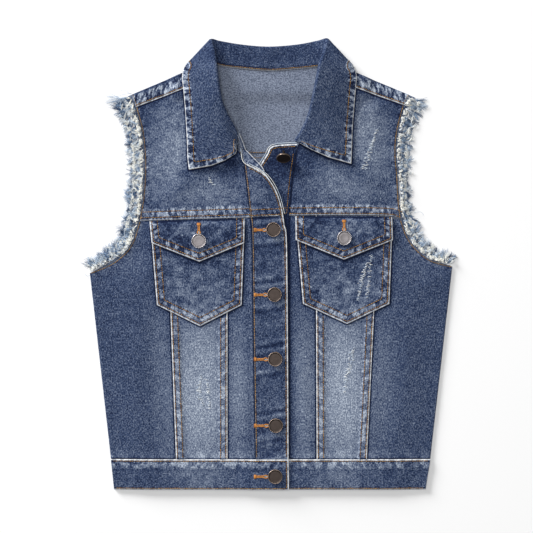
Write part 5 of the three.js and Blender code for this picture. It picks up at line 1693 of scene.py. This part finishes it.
def tufts(edge, sign, form, level, seed, reach):
    """Bunches of yarns that stand out from an edge, each narrowing and curling towards its tip."""
    rng = np.random.default_rng(seed)
    bunches, yarns = int(length_of(edge) / form["spacing"]), form["yarns"]
    t = np.clip((np.arange(bunches) + rng.uniform(0.1, 0.9, bunches)) / bunches, 0, 1)
    base, along, outwards = (v[:, None, None] for v in beside_edge(edge, sign, t))

    def draw(key):
        return rng.uniform(*form[key], (bunches, 1))
    root, length, lift = draw("root"), draw("length"), draw("lift")
    lean = rng.normal(0.15, form["lean"], (bunches, 1)) + rng.normal(0, 0.22, (bunches, yarns))
    wisp = 1 + WISPS["longer"] * (rng.uniform(0, 1, (bunches, 1)) < WISPS["share"])
    length = length * rng.uniform(0.6, 1.12, (bunches, yarns)) * wisp
    length *= reach * np.interp(t, *ALONG_EDGE)[:, None]
    start = rng.normal(0, form["width"] * 0.5, (bunches, yarns))
    curl = rng.normal(0, 1.1, (bunches, 1)) + rng.normal(0, 0.7, (bunches, yarns))
    wave = rng.uniform(0, 6.28, (bunches, yarns))
    s = np.linspace(0, 1, len(YARN_TAPER))
    out = root[..., None] + (length / np.sqrt(1 + lean**2))[..., None] * (s - 0.12 * s**3)
    aside = (start[..., None] * (1 - 0.45 * s) + (length * lean / np.sqrt(1 + lean**2))[..., None] * s
             + curl[..., None] * s**2 + 0.3 * np.sin(wave[..., None] + 8 * s) * s)
    plan = base + outwards * out[..., None] + along * aside[..., None]
    height = lift * rng.uniform(0.3, 1, (bunches, yarns))
    arch = height[..., None] * np.sin(np.pi * (0.08 + 0.8 * s))
    z = level + 0.35 + arch + 0.2 * np.sin(wave[..., None] + 5 * s)
    lines = np.concatenate([plan, z[..., None]], -1).reshape(-1, len(YARN_TAPER), 3)
    radii = rng.uniform(0.12, 0.27, (bunches * yarns, 1)) * np.array(YARN_TAPER)
    tint = rng.choice(form["tints"], (bunches, 1)) + rng.normal(0, 0.09, (bunches, yarns))
    return lines, radii, np.clip(tint, 0.02, 1).ravel()


def knots(edge, sign, root, level, seed):
    """Curled ends of cut yarns, piled along an edge."""
    rng = np.random.default_rng(seed)
    length = length_of(edge)
    count = int(length / KNOTS["spacing"])
    clusters = rng.uniform(0, 1, int(length / KNOTS["cluster_spacing"]))
    t = np.clip(rng.choice(clusters, count) + rng.normal(0, KNOTS["cluster_spread"] / length, count), 0, 1)
    base, along, outwards = beside_edge(edge, sign, t)
    size, turns = rng.uniform(*KNOTS["size"], (count, 1)), rng.uniform(*KNOTS["turns"], (count, 1))
    angle = rng.uniform(0, 6.28, (count, 1)) + turns * 2 * np.pi * np.linspace(0, 1, 11)
    out = rng.uniform(*root, (count, 1)) + size * np.cos(angle) * 0.8
    aside = size * np.sin(angle) + np.linspace(-1, 1, 11) * rng.uniform(-1.6, 1.6, (count, 1))
    plan = base[:, None] + outwards[:, None] * out[..., None] + along[:, None] * aside[..., None]
    z = level + rng.uniform(1.2, 2.8, (count, 1)) + 0.6 * size * np.sin(angle * 0.5)
    tint = np.clip(rng.normal(0.92, 0.12, count), 0.3, 1)
    return np.concatenate([plan, z[..., None]], -1), rng.uniform(0.22, 0.4, (count, 1)), tint


def running_yarns(edge, sign, offsets, level, seed, tints):
    """Yarns left along the edge, wavering."""
    rng = np.random.default_rng(seed)
    length = length_of(edge)
    lines, drawn = [], []
    for offset in offsets:
        pieces = int(length / 14)
        for k in range(pieces):
            t = (k + rng.uniform(-0.2, 0.2) + np.linspace(0, rng.uniform(0.6, 1.2), 10)) / pieces
            t = np.clip(t, 0, 1)
            base, _, outwards = beside_edge(edge, sign, t)
            waver = offset + 0.8 * value_noise(t * length / 3, t * 0 + offset, seed + k)
            z = level + 1.1 + 0.5 * value_noise(t * length / 2.5, t * 0, seed + 50 + k)
            lines.append(np.column_stack([base + outwards * waver[:, None], z]))
            drawn.append(rng.uniform(*tints))
    return np.array(lines), np.full((1, 10), 0.34), np.array(drawn)


def stray(points, z, tint):
    """One long loose thread through a few places."""
    places = points_of(along_line(catmull_rom(points, 8)), 14)
    heights = np.linspace(z, max(0.4, z - 2), 14)
    return np.column_stack([places, heights])[None], np.full((1, 14), 0.17), [tint]


def build_fray(side, front, curves):
    s = front["sign"]
    edges = {"front": curves["armhole"], "back": curve_through(back_armhole(front))}
    for layer, form in FRAYS.items():
        edge = shortened(edges[layer], form["share"])
        yarns = Threads()
        for key, level, seed in form["tufts"]:
            yarns.add(*tufts(edge, s, TUFTS[key], level, seed + s, REACH[side]))
        root, level, seed = form["knots"]
        yarns.add(*knots(edge, s, root, level, seed + s))
        offsets, level, seed, tints = form["running"]
        yarns.add(*running_yarns(edge, s, offsets, level, seed + s, tints))
        for i, points in enumerate(STRAYS[side] if layer == "back" else []):
            yarns.add(*stray(points, 3.0, 0.55 + 0.08 * (i % 4)))
        node = f"fray_{layer}_{side}"
        obj = yarns.build(f"{node}_yarns", YARN, "frayed_cotton", 3)
        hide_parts(node)


def shortened(curve, share):
    return lambda t: curve(np.asarray(t, float) * share)


def scrape(threads, cloth, paths, seed):
    """Short pale threads that bridge a worn place, one above another."""
    rng = np.random.default_rng(seed)
    for path in paths:
        points = catmull_rom(np.array(path, float), 8)
        length = run_of(points)[-1]
        count = int(length / SCRAPE["spacing"])
        middle = along_line(points)(np.linspace(0, 1, count)) + rng.normal(0, 0.6, (count, 2))
        half = rng.uniform(*SCRAPE["reach"], (count, 1))
        tilt = rng.normal(0.1, 0.25, (count, 1))
        s = np.linspace(-1, 1, 5)
        x = middle[:, :1] + half * s
        y = middle[:, 1:] + half * s * tilt + 0.35 * (1 - s**2)
        keep = rng.uniform(0, 1, count) < SCRAPE["kept"]
        x, y = x[keep], y[keep]
        z = cloth.top(x, y) + 0.28 * (1 - s**2) + 0.02
        radii = SCRAPE["radius"] * np.array([0.6, 1, 1, 1, 0.6])
        threads.add(np.stack([x, y, z], -1), radii, rng.uniform(*SCRAPE["tints"], len(x)))


# The upper end of the buttonhole band, and the end of the collar's stand above it

def ruled_cloth(name, node, left, right, fade):
    """A small strip of cloth between two lines of points in space."""
    seams = [Seam([], **looks) for looks in FACING_SEAMS]
    v, u = np.linspace(0, 1, 48), np.linspace(0, 1, 13)
    a, b = (along_line(catmull_rom(np.array(side, float), 10))(v) for side in (left, right))
    outer = a[:, None] + (b - a)[:, None] * u[None, :, None]
    width = np.linalg.norm(b - a, axis=1)[:, None]
    run = v[:, None] * run_of(a)[-1] + 0 * u
    height, more_fade, values = beside(seams, [(u * width, run), ((1 - u) * width, run)])
    outer[..., 2] += height
    values["fade"] = fade + more_fade + 0.3 * value_noise(outer[..., 0] / 3, outer[..., 1] / 4, 401)
    inner = outer - np.array([0, 0, FACING_CLOTH])
    obj = shell(name, outer, inner, values, outer[..., :2] + 900, [DENIM, DENIM])
    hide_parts(node)


def edge_ribs(threads, points, seed):
    """The worn edge of the under layer beside the upper one's, along a line of points in space."""
    rng = np.random.default_rng(seed)
    dense = along_line(catmull_rom(np.array(points, float), 12))(np.linspace(0, 1, 121))
    for k in range(0, 120, 12):
        part = dense[k:k + 13]
        tint = np.array([rng.uniform(0.6, 0.9)])
        threads.add(part[None], np.full((1, 13), 0.42), tint)


# Assembly

cloths = {"back_panel": build_back_panel(), "back_yoke": build_back_yoke()}
PANELS = {"side": build_side, "middle": build_middle, "centre": build_centre, "yoke": build_yoke,
          "shoulder": build_shoulder, "pocket": build_pocket, "flap": build_flap}
for side, front in FRONTS.items():
    front["curves"] = front_curves(front)
    for kind, build_panel in PANELS.items():
        cloths[f"{kind}_{side}"] = build_panel(f"{kind}_{side}", front, front["curves"])
    build_fray(side, front, front["curves"])
for side, build_placket in (("left", build_button_band), ("right", build_buttonhole_band)):
    cloths[f"placket_{side}"] = build_placket(f"placket_{side}", FRONTS[side]["curves"])
right, left = FRONTS["right"], FRONTS["left"]
build_band("waistband_back", (-right["hem"], -right["band_top"]), (left["hem"], left["band_top"]),
           lambda x, y: DOUBLE_CLOTH + 0 * x, 160, False, FACE_IN)
build_band("waistband_left", (left["hem"], left["band_top"]), BAND_ENDS["left"],
           lambda x, y: body_height(x, y, False) + BAND_LIFT, 170, False)
cloths["band_right"] = build_band(
    "waistband_right", (-right["hem"], -right["band_top"]), BAND_ENDS["right"],
    lambda x, y: body_height(x, y, False) + BAND_LIFT + OVERLAP_LIFT * overlap_rise(x), 180, True)
build_collar()

for i, place in enumerate(FRONT_BUTTONS):
    lean = 0.0 if i else TOP_BUTTON_LEAN
    build_button(f"button_{i + 1}", place, flat_face, [GUNMETAL, DARK_RIM_HIGHLIGHT], lean)
for side, place in POCKET_BUTTONS.items():
    build_button(f"button_pocket_{side}", place, ringed_face, [PEWTER, PALE_RIM_HIGHLIGHT])

for i, (x, y) in enumerate(FRONT_BUTTONS[1:]):
    hole_in = cloths["band_right"] if y < BAND_TOP else cloths["placket_right"]
    level, end_x = y - BUTTONHOLE["below"], x - BUTTON["radius"] + BUTTONHOLE["under"]
    buttonhole(hole_in, (BUTTONHOLE["start"], level), (end_x, level), 300 + i)
for side, (x, y) in POCKET_BUTTONS.items():
    end_y = y + BUTTON["radius"] - BUTTONHOLE["under"]
    buttonhole(cloths[f"flap_{side}"], (x, y + BUTTONHOLE["above"]), (x, end_y), 310)

ruled_cloth("stand_end_cloth", "collar", *STAND_END, fade=0.3)
ruled_cloth("placket_right_facing_cloth", "placket_right", *FACING, fade=0.35)

edge_ribs(worn_edges, FACING_RIB, 411)
upper_edge = points_of(curve_through(PLACKET_EDGE), 60)
upper_edge = inset(upper_edge[upper_edge[:, 1] > OPEN_FROM], RIB_INSET, -1)
upper_z = cloths["placket_right"].top(*upper_edge.T) - RIB_DROP["right"]
edge_ribs(worn_edges, np.column_stack([upper_edge, upper_z])[::4], 412)
neck_edge = inset(points_of(curve_through(UNDER_PLACKET_TOP)), RIB_INSET, 1)
neck_z = cloths["placket_left"].top(*neck_edge.T) - RIB_DROP["left"]
edge_ribs(worn_edges, np.column_stack([neck_edge, neck_z])[::3], 413)
worn_edges.build("worn_edges", YARN, "denim")

for level, reach, piece in BACK_ROWS:
    x = np.linspace(-reach, reach, 300)
    sew_on(cloths[piece], x, level + 0 * x, int(level))

scraped = Threads()
for i, (name, paths) in enumerate(SCRAPES.items()):
    scrape(scraped, cloths[name], paths, 421 + i)
scraped.build("scraped_threads", YARN, "denim")
tobacco.build("topstitching", TOBACCO, "denim")
orange.build("buttonhole_threads", ORANGE, "denim")


# Floor, light and camera

def add_floor():
    mesh = bpy.data.meshes.new("floor")
    corners = [(x * FLOOR_HALF, y * FLOOR_HALF, 0) for x, y in ((-1, -1), (1, -1), (1, 1), (-1, 1))]
    mesh.from_pydata(corners, [], [(0, 1, 2, 3)])
    n = Nodes("floor_paper")
    n.shader.inputs["Base Color"].default_value = FLOOR_COLOR
    mesh.materials.append(n.finished(0.9, 0.1))
    floor = bpy.data.objects.new("floor", mesh)
    floor.location.z = -FLOOR_DROP
    bpy.context.collection.objects.link(floor)


def add_light(name, place, size, power):
    data = bpy.data.lights.new(name, "AREA")
    data.shape = "DISK"
    data.size, data.energy = size, power
    lamp = bpy.data.objects.new(name, data)
    lamp.location = place
    lamp.rotation_euler = (-Vector(place)).to_track_quat("-Z", "Y").to_euler()
    bpy.context.collection.objects.link(lamp)


def set_world(strength):
    world = bpy.data.worlds.new("studio")
    world.use_nodes = True
    background = world.node_tree.nodes["Background"]
    background.inputs["Color"].default_value = (1, 1, 1, 1)
    background.inputs["Strength"].default_value = strength
    bpy.context.scene.world = world


add_floor()
for name, settings in LIGHTS.items():
    add_light(name, *settings)
set_world(WORLD_STRENGTH)
camera_data = bpy.data.cameras.new("camera")
camera_data.sensor_width = SENSOR
camera_data.lens = SENSOR * CAMERA_HEIGHT / FRAME_WIDTH
camera = bpy.data.objects.new("camera", camera_data)
camera.location = (*CAMERA_PLACE, CAMERA_HEIGHT + BODY_HEIGHT * MM)
bpy.context.collection.objects.link(camera)
bpy.context.scene.camera = camera
bpy.context.scene.view_settings.view_transform = "Standard"
